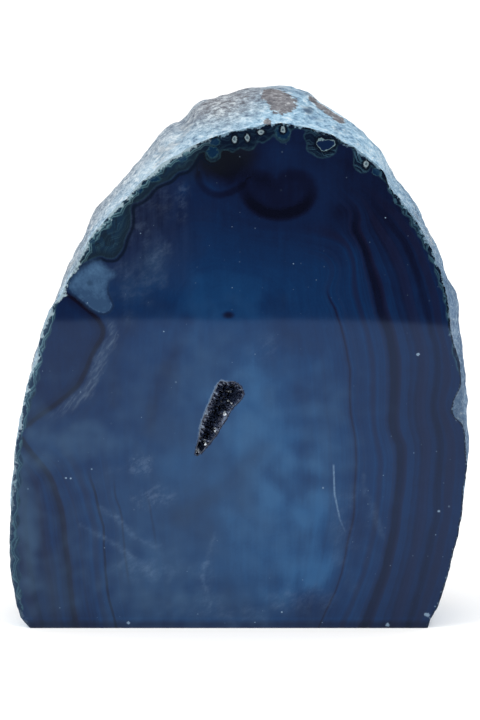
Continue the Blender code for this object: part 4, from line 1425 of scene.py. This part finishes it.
def add_crystal(mesh, foot, axis, size, length, draw, low, high):
    """A six-sided prism with a pointed end, in millimetres, kept between the box's corners in metres."""
    axis = axis.normalized()
    across = axis.orthogonal().normalized()
    other = axis.cross(across)
    turn = draw.uniform(0.0, FULL_TURN)
    lower = []
    upper = []
    for corner in range(SIDES):
        angle = turn + FULL_TURN * corner / SIDES
        out = (across * math.cos(angle) + other * math.sin(angle)) * size * CRYSTAL_RADIUS
        lower.append(foot - axis * CRYSTAL_ROOT + out)
        upper.append(foot + axis * length * PRISM[0] + out * PRISM[1])
    points = []
    for point in (*lower, *upper, foot + axis * length):
        place = [min(max(value * MM, least), most) for value, least, most in zip(point, low, high)]
        points.append(mesh.verts.new(place))
    for corner in range(SIDES):
        ahead = (corner + 1) % SIDES
        mesh.faces.new((points[corner], points[ahead], points[SIDES + ahead], points[SIDES + corner]))
        mesh.faces.new((points[SIDES + corner], points[SIDES + ahead], points[-1]))


# Studio: the camera, the floor and the lights, in metres
CAMERA_PLACE = (0.0, -0.729, 0.1717)
CAMERA_AIM = (0.0, -0.029, 0.0687)
PICTURE_HEIGHT = 720.0
FOCAL_PIXELS = 2830.15
SENSOR = 36.0
CAMERA_CLIP = (0.01, 100.0)
FLOOR_FRONT = -0.622
# The floor's front edge bends back on the right, as its reflection in the face does: (x, back)
FLOOR_CURVE = [(0.03, 0.0), (0.06, 0.003), (0.08, 0.01), (0.1, 0.022), (0.14, 0.05), (40.0, 0.05)]
FLOOR_REACH = 40.0
FLOOR_WHITE = (0.97, 0.97, 0.97)
# What lights the scene, and what a mirror sees round it: (colour, strength)
SKIES = [((1.0, 1.0, 1.0), 1.2), ((0.5, 0.6, 0.8), 0.02)]
# Lamps: (name, place, size, power), aimed at the stone's middle
LAMPS = [
    ("key", (-0.55, -0.35, 0.9), 0.45, 2.6),
    ("glint", (0.25, -0.45, 0.75), 0.08, 1.2),
]
LAMP_AIM = (0.0, 0.0, 0.06)


def make_camera():
    camera = add_object("camera", bpy.data.cameras.new("camera"))
    aim_at(camera, CAMERA_PLACE, CAMERA_AIM)
    camera.data.sensor_width = SENSOR
    camera.data.lens = SENSOR * FOCAL_PIXELS / PICTURE_HEIGHT
    camera.data.clip_start, camera.data.clip_end = CAMERA_CLIP
    bpy.context.scene.camera = camera


def make_floor():
    data = bpy.data.meshes.new("floor")
    corners = [(-FLOOR_REACH, FLOOR_FRONT, 0.0)]
    corners += [(x, FLOOR_FRONT + back, 0.0) for x, back in FLOOR_CURVE]
    corners += [(FLOOR_REACH, FLOOR_REACH, 0.0), (-FLOOR_REACH, FLOOR_REACH, 0.0)]
    data.from_pydata(corners, [], [list(range(len(corners)))])
    floor = add_object("floor", data)
    g = Graph(bpy.data.materials.new("white sweep"))
    g.node("ShaderNodeOutputMaterial", {0: g.value("ShaderNodeBsdfDiffuse", {"Color": FLOOR_WHITE})})
    data.materials.append(g.owner)


def make_world():
    """White all round, but dark to a mirror, so that the face reflects only the floor and the lamps."""
    world = bpy.data.worlds.new("studio")
    bpy.context.scene.world = world
    g = Graph(world)
    mirrored = g.value("ShaderNodeLightPath", output="Is Glossy Ray")
    white, dark = (g.value("ShaderNodeBackground", dict(zip(("Color", "Strength"), sky))) for sky in SKIES)
    g.node("ShaderNodeOutputWorld", {0: g.value("ShaderNodeMixShader", {0: mirrored, 1: white, 2: dark})})


def add_object(name, data):
    made = bpy.data.objects.new(name, data)
    bpy.context.scene.collection.objects.link(made)
    return made


def aim_at(made, place, aim):
    made.location = place
    made.rotation_euler = (Vector(aim) - Vector(place)).to_track_quat("-Z", "Y").to_euler()


def make_lamps():
    for name, place, size, power in LAMPS:
        data = bpy.data.lights.new(name, "AREA")
        data.size = size
        data.energy = power
        aim_at(add_object(name, data), place, LAMP_AIM)


def main():
    spot = make_spot_group()
    stone = build_stone()
    skins = [make_face_material(spot), make_rind_material(spot), make_base_material()]
    skins.append(make_druse_material(spot))
    for skin in skins:
        stone.data.materials.append(skin)
    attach(stone, "root")
    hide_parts("agate_slab")
    druse = build_druse()
    druse.data.materials.append(make_druse_material(spot))
    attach(druse, "root")
    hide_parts("vug_crystals")
    make_floor()
    make_world()
    make_lamps()
    make_camera()
    bpy.context.scene.view_settings.view_transform = "Standard"


main()
